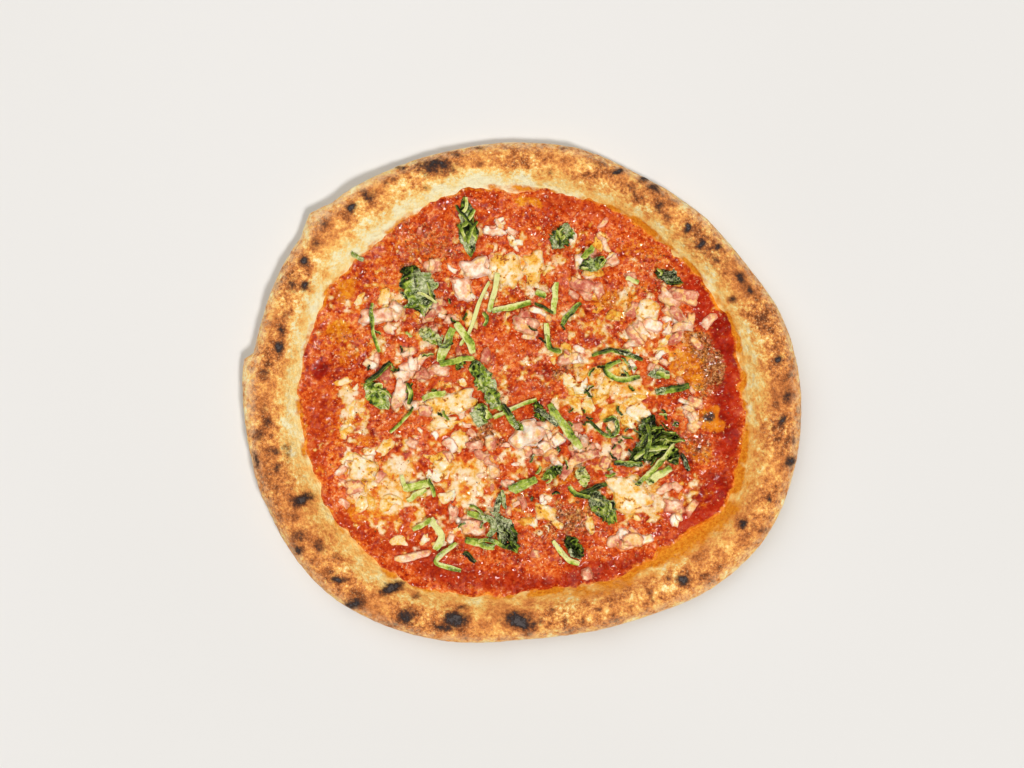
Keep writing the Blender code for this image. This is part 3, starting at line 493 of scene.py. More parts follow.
class Look:
    """A material with one Principled shader, and short ways to add nodes to it. Sizes are in mm."""

    def __init__(self, name, roughness, specular=0.5):
        self.material = bpy.data.materials.new(name)
        self.material.use_nodes = True
        self.tree = self.material.node_tree
        self.shader = self.tree.nodes["Principled BSDF"]
        self.place = self.add("ShaderNodeTexCoord").outputs["Object"]
        self.give(("Roughness", roughness), ("Specular IOR Level", specular))

    def add(self, kind, **settings):
        node = self.tree.nodes.new(kind)
        for key, value in settings.items():
            setattr(node, key, value)
        return node

    def feed(self, socket, value):
        if isinstance(value, bpy.types.NodeSocket):
            self.tree.links.new(value, socket)
        elif isinstance(value, tuple):
            socket.default_value = (*value, 1)[: len(socket.default_value)]
        else:
            socket.default_value = value

    def give(self, *inputs):
        """Sets inputs of the shader."""
        for key, value in inputs:
            self.feed(self.shader.inputs[key], value)

    def mask(self, name):
        return self.add("ShaderNodeAttribute", attribute_name=name).outputs["Fac"]

    def moved(self, seed):
        node = self.add("ShaderNodeVectorMath", operation="ADD")
        self.feed(node.inputs[0], self.place)
        node.inputs[1].default_value = (seed * 0.731, seed * 0.317, seed * 0.533)
        return node.outputs[0]

    def noise(self, size, seed=0, detail=3.0, roughness=0.55):
        """Noise from about 0.25 to 0.75, in lumps of about this size."""
        node = self.add("ShaderNodeTexNoise")
        self.feed(node.inputs["Vector"], self.moved(seed))
        for key, value in (("Scale", 0.6 / (size * MM)), ("Detail", detail), ("Roughness", roughness)):
            node.inputs[key].default_value = value
        return node.outputs["Fac"]

    def dots(self, size, seed, low, high):
        """Scattered round dots in cells of this size: 0 at low and 1 at high, as shares of it."""
        node = self.add("ShaderNodeTexVoronoi")
        self.feed(node.inputs["Vector"], self.moved(seed))
        node.inputs["Scale"].default_value = 1 / (size * MM)
        return self.window(node.outputs["Distance"], low, high)

    def maths(self, operation, first, second=0.0, third=0.0):
        node = self.add("ShaderNodeMath", operation=operation)
        for socket, value in zip(node.inputs, (first, second, third)):
            self.feed(socket, value)
        return node.outputs[0]

    def times(self, first, second):
        return self.maths("MULTIPLY", first, second)

    def sway(self, base, *layers):
        """base, raised or lowered by up to about half of each amount where its noise is high or low."""
        for noise_socket, amount in layers:
            base = self.maths("MULTIPLY_ADD", self.maths("SUBTRACT", noise_socket, 0.5), amount, base)
        return base

    def window(self, value, low, high):
        """0 at low and 1 at high, and smooth between them."""
        node = self.add("ShaderNodeMapRange", interpolation_type="SMOOTHSTEP")
        for key, given in (("Value", value), ("From Min", low), ("From Max", high)):
            self.feed(node.inputs[key], given)
        return node.outputs["Result"]

    def patches(self, mask, noise_socket, amount, low, high):
        """Where a mask is high, with edges that noise breaks up."""
        return self.window(self.sway(self.mask(mask), (noise_socket, amount)), low, high)

    def ramp(self, share, *stops):
        """A colour from stops of (place, red, green, blue)."""
        node = self.add("ShaderNodeValToRGB")
        self.feed(node.inputs["Fac"], share)
        elements = node.color_ramp.elements
        while len(elements) < len(stops):
            elements.new(0.5)
        for element, (place, *colour) in zip(elements, stops):
            element.position = place
            element.color = (*srgb(*colour), 1)
        return node.outputs["Color"]

    def over(self, below, share, above, strength=None):
        """One colour over another, at this strength where the share is 1."""
        if strength is not None:
            share = self.times(share, strength)
        node = self.add("ShaderNodeMix", data_type="RGBA")
        for place, value in ((0, share), (6, below), (7, above)):
            self.feed(node.inputs[place], value)
        return node.outputs[2]

    def bump(self, *layers):
        """Raises the surface by layers of (height, distance)."""
        normal = None
        for height, distance in layers:
            node = self.add("ShaderNodeBump")
            node.inputs["Strength"].default_value = 1.0
            node.inputs["Distance"].default_value = distance * MM
            self.feed(node.inputs["Height"], height)
            if normal:
                self.feed(node.inputs["Normal"], normal)
            normal = node.outputs["Normal"]
        self.give(("Normal", normal))

    def wet(self, weight, roughness, size, seed, distance, share=1.0):
        """A smooth wet film over the fine relief, so that highlights stay small and clear."""
        node = self.add("ShaderNodeBump")
        node.inputs["Distance"].default_value = distance * MM
        self.feed(node.inputs["Height"], self.times(self.noise(size, seed, 1.5, 0.5), share))
        self.give(("Coat Normal", node.outputs["Normal"]), ("Coat Weight", weight))
        self.give(("Coat Roughness", roughness), ("Coat IOR", 1.34))

    def fatty(self, seed):
        """Soft and lit through, as cheese and ham are, under a thin film that ends before the walls."""
        self.give(("Subsurface Weight", 0.5), ("Subsurface Radius", (1.0, 0.6, 0.4)))
        self.give(("Subsurface Scale", 1.2 * MM))
        self.wet(self.times(self.window(self.mask("edge"), 0.95, 0.75), 0.4), 0.14, 2.4, seed, 0.5)


def crust_look():
    look = Look("baked_dough", 0.6, 0.06)
    fine = look.noise(1.1, 1, 5, 0.7)
    mottling = look.maths("MULTIPLY_ADD", look.mask("mottle"), 1.3, 0.5)
    bake = look.sway(look.mask("bake"), (fine, mottling), (look.noise(3.8, 2, 4, 0.6), mottling))
    colour = look.ramp(
        bake, (0.0, 255, 246, 200), (0.18, 255, 225, 146), (0.34, 252, 192, 100), (0.48, 238, 158, 82),
        (0.62, 214, 130, 66), (0.78, 180, 104, 54), (1.0, 116, 64, 34),
    )
    # Pale flour, partly painted light on the outer edge
    flour_and_light = look.times(look.mask("flour_and_light"), look.window(look.noise(2.2, 3, 5, 0.7), 0.36, 0.6))
    colour = look.over(colour, flour_and_light, srgb(255, 232, 186))
    stain = look.patches("stain", look.noise(3, 4, 4), 1.8, 0.25, 1.0)
    colour = look.over(colour, stain, look.ramp(fine, (0.35, 214, 108, 14), (0.65, 246, 164, 46)))
    browned = look.times(look.dots(1.4, 9, 0.34, 0.12), look.window(look.mask("bake"), 0.45, 0.75))
    colour = look.over(colour, browned, srgb(120, 66, 34), 0.6)
    crumbs = look.times(look.dots(1.5, 10, 0.36, 0.14), look.mask("mottle"))
    colour = look.over(colour, crumbs, srgb(240, 192, 136), 0.45)
    burnt = look.sway(look.mask("char"), (look.noise(1.8, 5, 5, 0.7), 1.3))
    ash = look.ramp(
        look.sway(burnt, (fine, 1.4)), (0.15, 150, 86, 44), (0.38, 104, 62, 40), (0.6, 66, 46, 38),
        (0.8, 52, 44, 42), (1.0, 86, 78, 76),
    )
    look.give(("Base Color", look.over(colour, look.window(burnt, 0.0, 0.8), ash)))
    look.bump((look.noise(3.2, 7, 4, 0.6), 1.6), (fine, 0.8))
    return look.material


def sauce_look():
    look = Look("tomato_sauce", 0.3, 0.04)
    fine = look.noise(0.9, 11, 4, 0.7)
    pulp = look.noise(2.0, 18, 5, 0.62)
    broad = look.noise(9, 12, 4, 0.6)
    rough = look.maths("MULTIPLY_ADD", look.mask("deep_and_shade"), -0.7, 1.0)
    # The same pulp and fine noise raise the bump below, so this tone is painted shade in the pits and painted
    # highlight on the ridges, over the sauce's own uneven colour
    pulp_tone_shade_and_light = look.sway(0.0, (pulp, 1.4), (fine, 1.0), (look.noise(4.5, 16, 3, 0.6), 0.5))
    tone = look.sway(look.maths("MULTIPLY_ADD", pulp_tone_shade_and_light, rough, 0.495), (broad, 0.9))
    red = look.ramp(
        tone, (0.12, 124, 20, 2), (0.34, 172, 44, 6), (0.52, 209, 78, 18), (0.68, 231, 116, 46),
        (0.88, 248, 172, 106),
    )
    # Darker red for deep sauce, also used as painted shade among the toppings
    deep_and_shade = look.ramp(tone, (0.2, 92, 8, 0), (0.44, 142, 20, 2), (0.6, 178, 42, 10), (0.85, 210, 90, 46))
    colour = look.over(red, look.patches("deep_and_shade", broad, 0.8, 0.2, 0.9), deep_and_shade)
    oil = look.ramp(tone, (0.25, 178, 74, 4), (0.5, 216, 116, 12), (0.8, 240, 162, 44))
    colour = look.over(colour, look.patches("oil", pulp, 1.0, 0.22, 0.66), oil)
    melt = look.sway(look.mask("cheese"), (look.noise(1.8, 13, 4, 0.65), 1.6))
    cheese = look.ramp(
        look.sway(0.34, (look.noise(5.0, 14, 3, 0.6), 2.6), (pulp, 1.2), (melt, 0.6)), (0.05, 218, 104, 26),
        (0.22, 234, 142, 40), (0.4, 236, 173, 66), (0.6, 242, 204, 136), (0.95, 250, 229, 192),
    )
    colour = look.over(colour, look.window(melt, 0.1, 0.95), cheese, 0.92)
    thin = look.ramp(fine, (0.38, 222, 104, 30), (0.62, 244, 170, 84))
    colour = look.over(colour, look.patches("thin", pulp, 1.6, 0.25, 1.0), thin)
    # Browned patches of sauce, and a wide weak one in the middle as painted shade
    browned = look.ramp(fine, (0.36, 64, 30, 12), (0.5, 140, 74, 28), (0.64, 216, 154, 94))
    colour = look.over(colour, look.patches("brown_and_shade", look.noise(1.3, 15, 5, 0.8), 3.4, 0.32, 1.05), browned)
    # Pale flecks: grated cheese, and painted glints that stand in for wet highlights on the sauce
    cheese_flecks_and_glints = look.times(look.window(look.noise(1.3, 17, 3, 0.6), 0.6, 0.68), rough)
    colour = look.over(colour, cheese_flecks_and_glints, srgb(252, 192, 144), 0.6)
    colour = look.over(colour, look.patches("scorch", fine, 2.0, 0.2, 1.0), srgb(66, 46, 40))
    look.give(("Base Color", colour))
    look.bump((look.times(pulp, rough), 1.6), (look.times(fine, rough), 0.4))
    shiny = look.times(look.window(look.noise(3.6, 29, 2), 0.42, 0.51), rough)
    look.wet(shiny, 0.06, 2.3, 19, 1.6, rough)
    return look.material


def cheese_look():
    look = Look("melted_cheese", 0.35, 0.04)
    fine = look.noise(1.6, 21, 4, 0.6)
    tone = look.sway(look.mask("tint"), (look.noise(5, 22, 4, 0.6), 2.6), (look.noise(1.7, 26, 3, 0.6), 1.6))
    colour = look.ramp(
        tone, (0.0, 249, 233, 205), (0.38, 244, 214, 158), (0.72, 238, 182, 70), (1.0, 216, 132, 32)
    )
    blister = look.sway(look.noise(2.8, 23, 3, 0.6), (fine, 0.3))
    colour = look.over(colour, look.window(blister, 0.53, 0.61), srgb(242, 184, 66), 0.85)
    colour = look.over(colour, look.window(blister, 0.6, 0.67), srgb(168, 86, 30))
    rim = look.patches("edge", look.noise(3, 27, 3), 1.4, 0.7, 1.05)
    look.give(("Base Color", look.over(colour, rim, srgb(234, 152, 72), 0.25)))
    look.bump((look.noise(2.2, 24, 4, 0.6), 1.1), (look.noise(0.7, 25, 2), 0.2))
    look.fatty(28)
    return look.material


def ham_look():
    look = Look("cooked_ham", 0.35, 0.04)
    fine = look.noise(1.3, 31, 4, 0.6)
    tone = look.sway(look.mask("tint"), (look.noise(3.4, 32, 4, 0.65), 2.6), (fine, 0.5))
    colour = look.ramp(
        tone, (0.0, 192, 94, 72), (0.28, 216, 136, 106), (0.5, 233, 174, 136), (0.75, 246, 208, 174),
        (1.0, 254, 234, 212),
    )
    melted = look.ramp(fine, (0.4, 240, 184, 96), (0.6, 250, 220, 160))
    colour = look.over(colour, look.window(look.noise(3.6, 36, 3, 0.6), 0.51, 0.6), melted, 0.8)
    # Browned edges, darkened further as painted shadow along the walls
    rim = look.patches("edge", look.noise(3, 37, 3), 1.2, 0.76, 1.05)
    colour = look.over(colour, rim, srgb(214, 118, 76), 0.4)
    scorch = look.window(look.sway(look.noise(3.0, 33, 3, 0.6), (fine, 0.3)), 0.7, 0.78)
    look.give(("Base Color", look.over(colour, scorch, srgb(186, 96, 50))))
    look.bump((look.noise(1.8, 34, 4, 0.6), 0.7), (look.noise(0.6, 35, 2), 0.12))
    look.fatty(38)
    return look.material


def basil_look():
    look = Look("basil", 0.35, 0.1)
    fine = look.noise(1.1, 41, 4, 0.65)
    tone = look.sway(look.mask("tint"), (look.noise(3, 42, 4, 0.65), 1.3), (fine, 0.9))
    colour = look.ramp(
        tone, (0.0, 22, 24, 12), (0.2, 48, 60, 22), (0.4, 84, 104, 32), (0.6, 138, 158, 46),
        (0.8, 188, 198, 84), (1.0, 228, 224, 150),
    )
    colour = look.over(colour, look.window(look.mask("vein"), 0.4, 0.95), srgb(186, 184, 112), 0.45)
    grated = look.ramp(fine, (0.36, 136, 148, 92), (0.5, 184, 188, 138), (0.64, 230, 226, 190))
    crumbs = look.patches("dust", look.noise(1.1, 43, 5, 0.85), 4.6, 0.62, 1.05)
    look.give(("Base Color", look.over(colour, crumbs, grated)))
    look.bump((look.noise(2.0, 44, 4, 0.6), 1.2), (fine, 0.4))
    return look.material


def speck_look():
    look = Look("grated_cheese", 0.5, 0.1)
    colour = look.ramp(
        look.mask("tint"), (0.06, 96, 62, 26), (0.14, 196, 92, 40), (0.45, 230, 134, 70),
        (0.75, 242, 174, 112), (1.0, 252, 218, 166),
    )
    look.give(("Base Color", colour))
    return look.material


# Height of the highest thing at each place of the pizza, on a fine grid that pieces are laid on one by one
HALF_CELLS = np.round(HALF_PLAN / CELL).astype(int)
ground = np.full(tuple(HALF_CELLS[::-1] * 2), FLOOR)


def cell_of(xy):
    """Row and column of the ground's cell at a place in the frame."""
    place = np.round(xy / CELL).astype(int) + HALF_CELLS
    return np.clip(place[..., 1], 0, ground.shape[0] - 1), np.clip(place[..., 0], 0, ground.shape[1] - 1)


def pile(points):
    """Raises the ground to the tops of these points."""
    rows, columns = cell_of(points[..., :2])
    for step_y, step_x in itertools.product((-1, 0, 1), repeat=2):
        near_rows = np.clip(rows + step_y, 0, ground.shape[0] - 1).ravel()
        near_columns = np.clip(columns + step_x, 0, ground.shape[1] - 1).ravel()
        np.maximum.at(ground, (near_rows, near_columns), points[..., 2].ravel())


def resting(xy, reach):
    """Height of what lies under these places, evened out over this reach as a soft piece would."""
    total = np.zeros(xy.shape[:-1])
    highest = np.full(xy.shape[:-1], -1.0)
    ring = [np.zeros(2)]
    for share, turn in itertools.product((0.5, 1.0), np.arange(0, math.tau, math.tau / 8)):
        ring.append(share * reach * np.array((math.cos(turn), math.sin(turn))))
    for step in ring:
        there = ground[cell_of(xy + step)]
        total += there / len(ring)
        highest = np.maximum(highest, there)
    return 0.5 * (total + highest)


def finish_piece(piece, look, slot, *nodes):
    """Gives a piece its material and its body, and hides the solids that it stands for."""
    piece.data.materials.append(look)
    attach(piece, "root")
    if nodes:
        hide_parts(*nodes)


def make_crust(look):
    """The crust's section lofted round, with the dough's relief and the masks for its colours."""
    angle = np.arange(CRUST_STEPS) / CRUST_STEPS * math.tau
    foot, crown, outside = (values[:, None] for values in rim_places(angle))
    angle = angle[:, None]
    top = crown_height(angle)
    belly = BELLY_AT * top
    under = UNDERCUT * (outside - foot)
    turn = np.radians(90) * (1 - np.arange(UNDER_STEPS) / UNDER_STEPS)
    parts = [at(angle, outside - under * (1 - np.cos(turn)), belly * (1 - np.sin(turn)))]
    turn = np.radians(90) * np.arange(OUTSIDE_STEPS) / OUTSIDE_STEPS
    radius = outside - (outside - crown) * (1 - np.cos(turn))
    parts.append(at(angle, radius, belly + (top - belly) * np.sin(turn)))
    radius = crown + (foot - crown) * np.arange(INSIDE_STEPS + 1) / INSIDE_STEPS
    parts.append(at(angle, radius, inner_slope(angle, radius)))
    points = np.concatenate(parts, axis=1)

    # The large lumps are the solid's own. Finer ones and raised blisters at the char spots come on top.
    freedom = ramp((points[..., 2] - FLOOR - LUMPS_START) / (LUMPS_FULL - LUMPS_START))
    upper = level(points[..., 2], 2 * MM, 8 * MM)
    spots = [(x, y, w / 2, h / 2, -degrees, black) for x, y, w, h, degrees, black in CHAR_SPOTS_PIXELS]
    around_spots = [(x, y, w + 2, h + 2, degrees, black) for x, y, w, h, degrees, black in spots]
    char = field(to_frame(points), spots, 0.95, 1.3 * MM)
    halo = field(to_frame(points), around_spots, 0.8, 2.5 * MM)
    relief = soft_noise(points, LUMP_SIZE) * LUMP_HEIGHT * freedom
    relief += 0.42 * MM * grain(points, 6.5 * MM, 1) * freedom
    relief += 0.22 * MM * grain(points, 2.6 * MM, 2) * upper
    relief += 0.10 * MM * grain(points, 1.3 * MM, 3) * upper
    relief += 0.5 * MM * char * upper - 0.25 * MM
    relief *= level(points[..., 2], 0.5 * MM, 2.5 * MM)
    points = points + relief[..., None] * at(angle, 1.0, 0.6) / math.hypot(1.0, 0.6)

    # reach runs from 0 at the sauce to 1 at the outside
    edge, plain = sauce_radius(angle), plain_radius(angle)
    reach = (np.hypot(points[..., 0], points[..., 1]) - edge) / (plain - edge)
    outer_side = (1 - level(points[..., 2], 2 * MM, 13 * MM)) * level(reach, 0.55, 0.8)
    inside = level(-reach, -0.6, -0.2)
    bake = np.interp(reach, BAKE_AT, BAKE) + inside * around(INSIDE_SHIFT, angle)
    bake += (1 - inside) * around(OUTSIDE_SHIFT, angle)
    bake += 0.13 * grain(points, 14 * MM, 4) + 0.13 * grain(points, 5 * MM, 5)
    bake += 0.16 * level(halo, 0.0, 0.6) - 0.2 * outer_side
    # Flour dusted on the outside of the rim. It is raised at the outer edge, where the surface curves away
    # from the lamps, and towards +Y, away from the key light, as painted light
    flour_and_light = np.clip(outer_side + 0.55 * level(reach, 0.72, 0.98), 0, 1) * (0.85 + 0.2 * np.sin(angle))
    shore = level(-reach, -0.12, 0.0) * np.clip(0.45 + 0.9 * grain(points, 9 * MM, 6), 0, 1)
    amber = level(-degrees_from(angle, AMBER_SIDE), -75, -45) * level(-reach, -0.15, -0.04)
    amber *= 0.6 + 0.6 * grain(points, 7 * MM, 8)
    oily = level(-degrees_from(angle, OILY_SIDE), -56, -8) * level(-reach, -0.42, -0.08)
    oily *= np.clip(0.85 + 0.9 * grain(points, 8 * MM, 9), 0, 1)
    mottle = level(reach, 0.0, 0.45) * (0.75 + 0.5 * grain(points, 22 * MM, 7))
    masks = {
        "bake": bake, "char": char, "flour_and_light": flour_and_light, "stain": shore + oily + 0.9 * amber, "mottle": mottle
    }

    low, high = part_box("crust")
    points = np.clip(to_frame(points), np.array(low), np.array(high))
    rows, columns = points.shape[:2]
    faces = grid_faces(rows, columns, True)
    faces.append([row * columns for row in reversed(range(rows))])
    faces.append([row * columns + columns - 1 for row in range(rows)])
    piece = mesh_object("dressed_crust", points, faces, masks)
    finish_piece(piece, look, "crust", "crust")
    pile(points)


def disc_places(cells):
    """Shares of the radius and angles of a square grid of points that is spread evenly over a disc."""
    steps = np.linspace(-1, 1, cells + 1)
    a, b = np.meshgrid(steps, steps, indexing="ij")
    share = np.maximum(np.abs(a), np.abs(b))
    safe_a = np.where(a == 0, 1, a)
    safe_b = np.where(b == 0, 1, b)
    along = np.pi / 4 * b / safe_a + np.where(a < 0, np.pi, 0)
    across = np.pi / 2 - np.pi / 4 * a / safe_b + np.where(b < 0, np.pi, 0)
    return share, np.where(np.abs(a) >= np.abs(b), along, across)


def make_sauce(look):
    """The sauce's uneven top, with its edge sunk just under the surface of the crust."""
    share, turn = disc_places(SAUCE_CELLS)
    edge = sauce_radius(turn)
    line = at(turn, edge, 0)
    shore = edge + (2.3 * MM * grain(line, 11 * MM, 61) + 1.3 * MM * grain(line, 4 * MM, 62))
    radius = share * shore
    points = at(turn, radius, 0.0)
    climb = ramp((radius - edge + SAUCE_CLIMB) / SAUCE_CLIMB)
    rim = inner_slope(turn, np.maximum(radius, edge - 0.5 * MM)) + SAUCE_EDGE
    relief = soft_noise(points, RELIEF_SIZE) + 0.5 * soft_noise(points * 2.3, RELIEF_SIZE)
    height = SAUCE_TOP + (rim - SAUCE_TOP) * climb + RELIEF_HEIGHT * relief * (1 - climb)

    # Pulp where there is no cheese, and cheese as low melted lumps
    pulp = 0.38 * MM * grain(points, 3.6 * MM, 63) + 0.28 * MM * grain(points, 1.9 * MM, 64)
    lumps = grain(points, 5.0 * MM, 65) + 0.8 * grain(points, 2.6 * MM, 67)
    lumps += 0.4 * grain(points, 1.5 * MM, 68)
    places = to_frame(points)
    cheese = level(1.25 * field(places, CHEESE_FIELDS_PIXELS, 0.4, 4 * MM) + 0.45 * lumps, 0.35, 1.1)
    height += pulp * (1 - 0.4 * climb) * (1 - 0.5 * cheese) + 0.55 * MM * cheese * (1 + 0.4 * lumps)
    fade = level(shore - radius, -0.2 * MM, 2.2 * MM)
    bottom = inner_slope(turn, radius) - 0.35 * MM
    points[..., 2] = bottom + (np.maximum(height, bottom + 0.5 * MM) - bottom) * fade

    masks = {"cheese": cheese}
    kinds = (("oil", OIL_FIELDS_PIXELS), ("deep_and_shade", DEEP_AND_SHADE_FIELDS_PIXELS), ("brown_and_shade", BROWN_AND_SHADE_FIELDS_PIXELS))
    for key, fields in kinds:
        masks[key] = field(places, fields, 0.5, 4 * MM)
    shallow = level(radius - shore, -4.5 * MM, -0.5 * MM) * (0.45 + 0.5 * grain(points, 14 * MM, 66))
    masks["oil"] = np.maximum(masks["oil"], shallow)
    masks["thin"] = level(radius - shore, -3.2 * MM, 0.3 * MM) * (0.75 + 0.5 * grain(points, 6 * MM, 69))
    masks["scorch"] = field(places, SCORCHED_PIXELS, 0.9, 1.2 * MM)
    points = to_frame(points)
    side = SAUCE_CELLS + 1
    piece = mesh_object("dressed_sauce", points, grid_faces(side, side, False), masks)
    finish_piece(piece, look, "sauce", "sauce")
    pile(points)


def slab_arrays(spec, seed, style, sides, rings):
    """Points and edge mask of a flat piece with a torn outline, laid on the ground."""
    x, y, length, width, thick, degrees = spec[:6]
    ragged, lobes, squareness, plumpness, corners, bend = style
    angle = np.arange(sides)[:, None] / sides * math.tau
    spread = np.sin(np.linspace(0, 1, rings) * math.pi / 2)[None, :]
    square = (np.abs(np.cos(angle)) ** squareness + np.abs(np.sin(angle)) ** squareness) ** (-1 / squareness)
    outline = 1 + ragged * soft_noise(at(angle, lobes, seed * 7.3), 1.0)
    outline += ragged * 0.14 * grain(at(angle, 4.0, seed * 3.7), 1.0, seed)
    outline += ragged * 0.08 * grain(at(angle, 9.0, seed), 1.0, seed)
    outline *= 1 - corners + corners * square / square.mean()
    along = spread * outline * np.cos(angle) * length / 2
    across = spread * outline * np.sin(angle) * width / 2
    across += bend * math.sin(seed * 2.3) * (along**2 / (length / 2) - length / 6)
    along, across = turned(along, across, math.radians(degrees))
    xy = from_plan(x + along, y + across)
    low = resting(xy, 0.15 * width * MM)
    stiff = 0.5 * low + 0.5 * low.mean()
    place = np.concatenate((xy, np.full((*xy.shape[:-1], 1), seed * MM)), axis=-1)
    dent = 1 + 0.28 * grain(place, 4.5 * MM, seed) + 0.14 * grain(place, 2.0 * MM, seed + 1)
    profile = (1 - spread**plumpness) ** (1 / plumpness)
    top = np.maximum(stiff, low) + (0.1 + 0.9 * profile) * thick * 0.85 * MM * dent
    upper = np.concatenate((xy, top[..., None]), axis=-1)
    outward = xy[:, -1:] - xy[:, :1]
    outward *= FOOT_SPREAD * thick * MM / np.linalg.norm(outward, axis=-1, keepdims=True)
    skirt = np.concatenate((xy[:, -1:] + outward, low[:, -1:, None] - FOOT_SINK), axis=-1)
    points = np.concatenate((upper, skirt), axis=1)
    return points, np.broadcast_to(np.concatenate((spread, [[1.0]]), axis=1), points.shape[:-1])


def slab_faces(sides, rings):
    columns = rings + 1
    faces = grid_faces(sides, columns, True)
    faces.append([row * columns + columns - 1 for row in reversed(range(sides))])
    return [face[::-1] for face in faces]


def lay_slabs(name, specs, first_seed, style, look, slot, *nodes, sides=SLAB_SIDES, rings=SLAB_RINGS):
    """One or many pieces of cheese or ham as one mesh."""
    points, edges, tints, faces = [], [], [], []
    for number, spec in enumerate(specs):
        made, edge = slab_arrays(spec, first_seed + number, style, sides, rings)
        start = number * made.shape[0] * made.shape[1]
        points.append(made)
        edges.append(edge)
        tints.append(np.full(edge.shape, spec[6]))
        faces += [[corner + start for corner in face] for face in slab_faces(sides, rings)]
        pile(made)
    masks = {"edge": np.concatenate(edges), "tint": np.concatenate(tints)}
    piece = mesh_object(name, np.concatenate(points), faces, masks)
    finish_piece(piece, look, slot, *nodes)


def scattered_bits(crowds, seed, flattest):
    """Small pieces at random places in each crowd, as specs like those of the larger ones."""
    random = np.random.default_rng(seed)
    specs = []
    for px, py, half_width, half_height, count, size, tint in crowds:
        for _ in range(count):
            turn, share = random.uniform(0, math.tau), math.sqrt(random.uniform())
            u, v = share * math.cos(turn), share * math.sin(turn)
            place = plan_of(px + half_width * u, py + half_height * v)
            length = size * random.uniform(0.7, 1.7)
            width = length * random.uniform(0.38, 0.72)
            thick = min(flattest, 0.5 * width) * random.uniform(0.7, 1.1)
            shade = tint + random.uniform(-0.35, 0.35)
            specs.append((*place, length, width, thick, random.uniform(0, 180), shade))
    return specs


def thin_piece(name, points, faces, masks, look, slot, thickness, *nodes):
    """A thin piece, thickened downwards."""
    piece = mesh_object(name, points, faces, masks)
    solidify = piece.modifiers.new("thickness", "SOLIDIFY")
    solidify.thickness = thickness
    solidify.offset = -1
    finish_piece(piece, look, slot, *nodes)


def lay_leaf(name, spec, seed, look, *nodes):
    """A wilted leaf in ruffles, with a midrib and side veins, and with torn holes and edges."""
    x, y, length, width, ruffle, degrees, tint, dust = spec
    along = np.linspace(-1, 1, LEAF_ALONG)[:, None]
    across = np.linspace(-1, 1, LEAF_ACROSS)[None, :]
    swell = 1 - 0.88 * np.abs(along) ** 2.2
    flat = np.stack(np.broadcast_arrays(along * 2, across, seed * 3.1), axis=-1)
    swell = swell * (1 + 0.4 * soft_noise(flat, 0.8) + 0.2 * grain(flat, 0.3, seed) * np.abs(across))
    reach = 1 + 0.12 * grain(flat, 0.5, seed + 3)
    u, v = turned(along * reach * length / 2, across * swell * width / 2, math.radians(degrees))
    xy = from_plan(x + u, y + v)
    wave = 0.5 + 0.5 * np.sin(4.2 * along + 2.6 * across * math.cos(seed) + seed)
    crumple = 0.5 - 1.3 * np.abs(grain(flat, 0.42, seed + 1)) + 0.3 * grain(flat, 0.2, seed + 2)
    rib = np.exp(-((across / 0.09) ** 2))
    side_veins = np.clip(1 - np.abs(((along + 0.35 * np.abs(across)) * 4.5) % 1 - 0.5) * 5, 0, 1) * 0.6
    vein = np.maximum(rib, side_veins * (1 - np.abs(across) ** 3))
    height = resting(xy, 2.4 * MM) + 0.3 * MM + ruffle * MM * (0.85 * wave + crumple) - 0.25 * MM * vein
    height = np.maximum(height, resting(xy, 0.5 * MM) + 0.1 * MM)
    points = np.concatenate((xy, height[..., None]), axis=-1)
    # Darker in the crumpled folds and lighter on their ridges, as painted shade and light, over a random tone
    tone_and_fold_shade = 0.22 * grain(points, 6 * MM, seed + 5) + 0.6 * crumple
    sprinkled = 0.9 * dust + 0.7 * grain(points, 7 * MM, seed + 6) + 0.4 * grain(points, 2.5 * MM, seed + 7)
    masks = {"tint": tint + tone_and_fold_shade, "vein": 0.6 * vein, "dust": sprinkled}
    tear = grain(flat, 0.22, seed + 8) + 0.7 * grain(flat, 0.5, seed + 9) + 2.2 * np.abs(across) ** 3
    torn = (tear > TORN_FROM).ravel()
    faces = [face for face in grid_faces(LEAF_ALONG, LEAF_ACROSS, False) if not torn[face].any()]
    thin_piece(name, points, faces, masks, look, "basil_leaf", LEAF_THICKNESS, *nodes)
    pile(points)


def smooth_route(points, count):
    """Points at even steps on a smooth line through the ones given, as an array."""
    ends = np.array((points[0], *points, points[-1]), float)
    place = np.linspace(0, len(points) - 1, count)
    first = np.minimum(place.astype(int), len(points) - 2)
    near = (ends[first + step] for step in range(4))
    return between(*near, (place - first)[:, None])


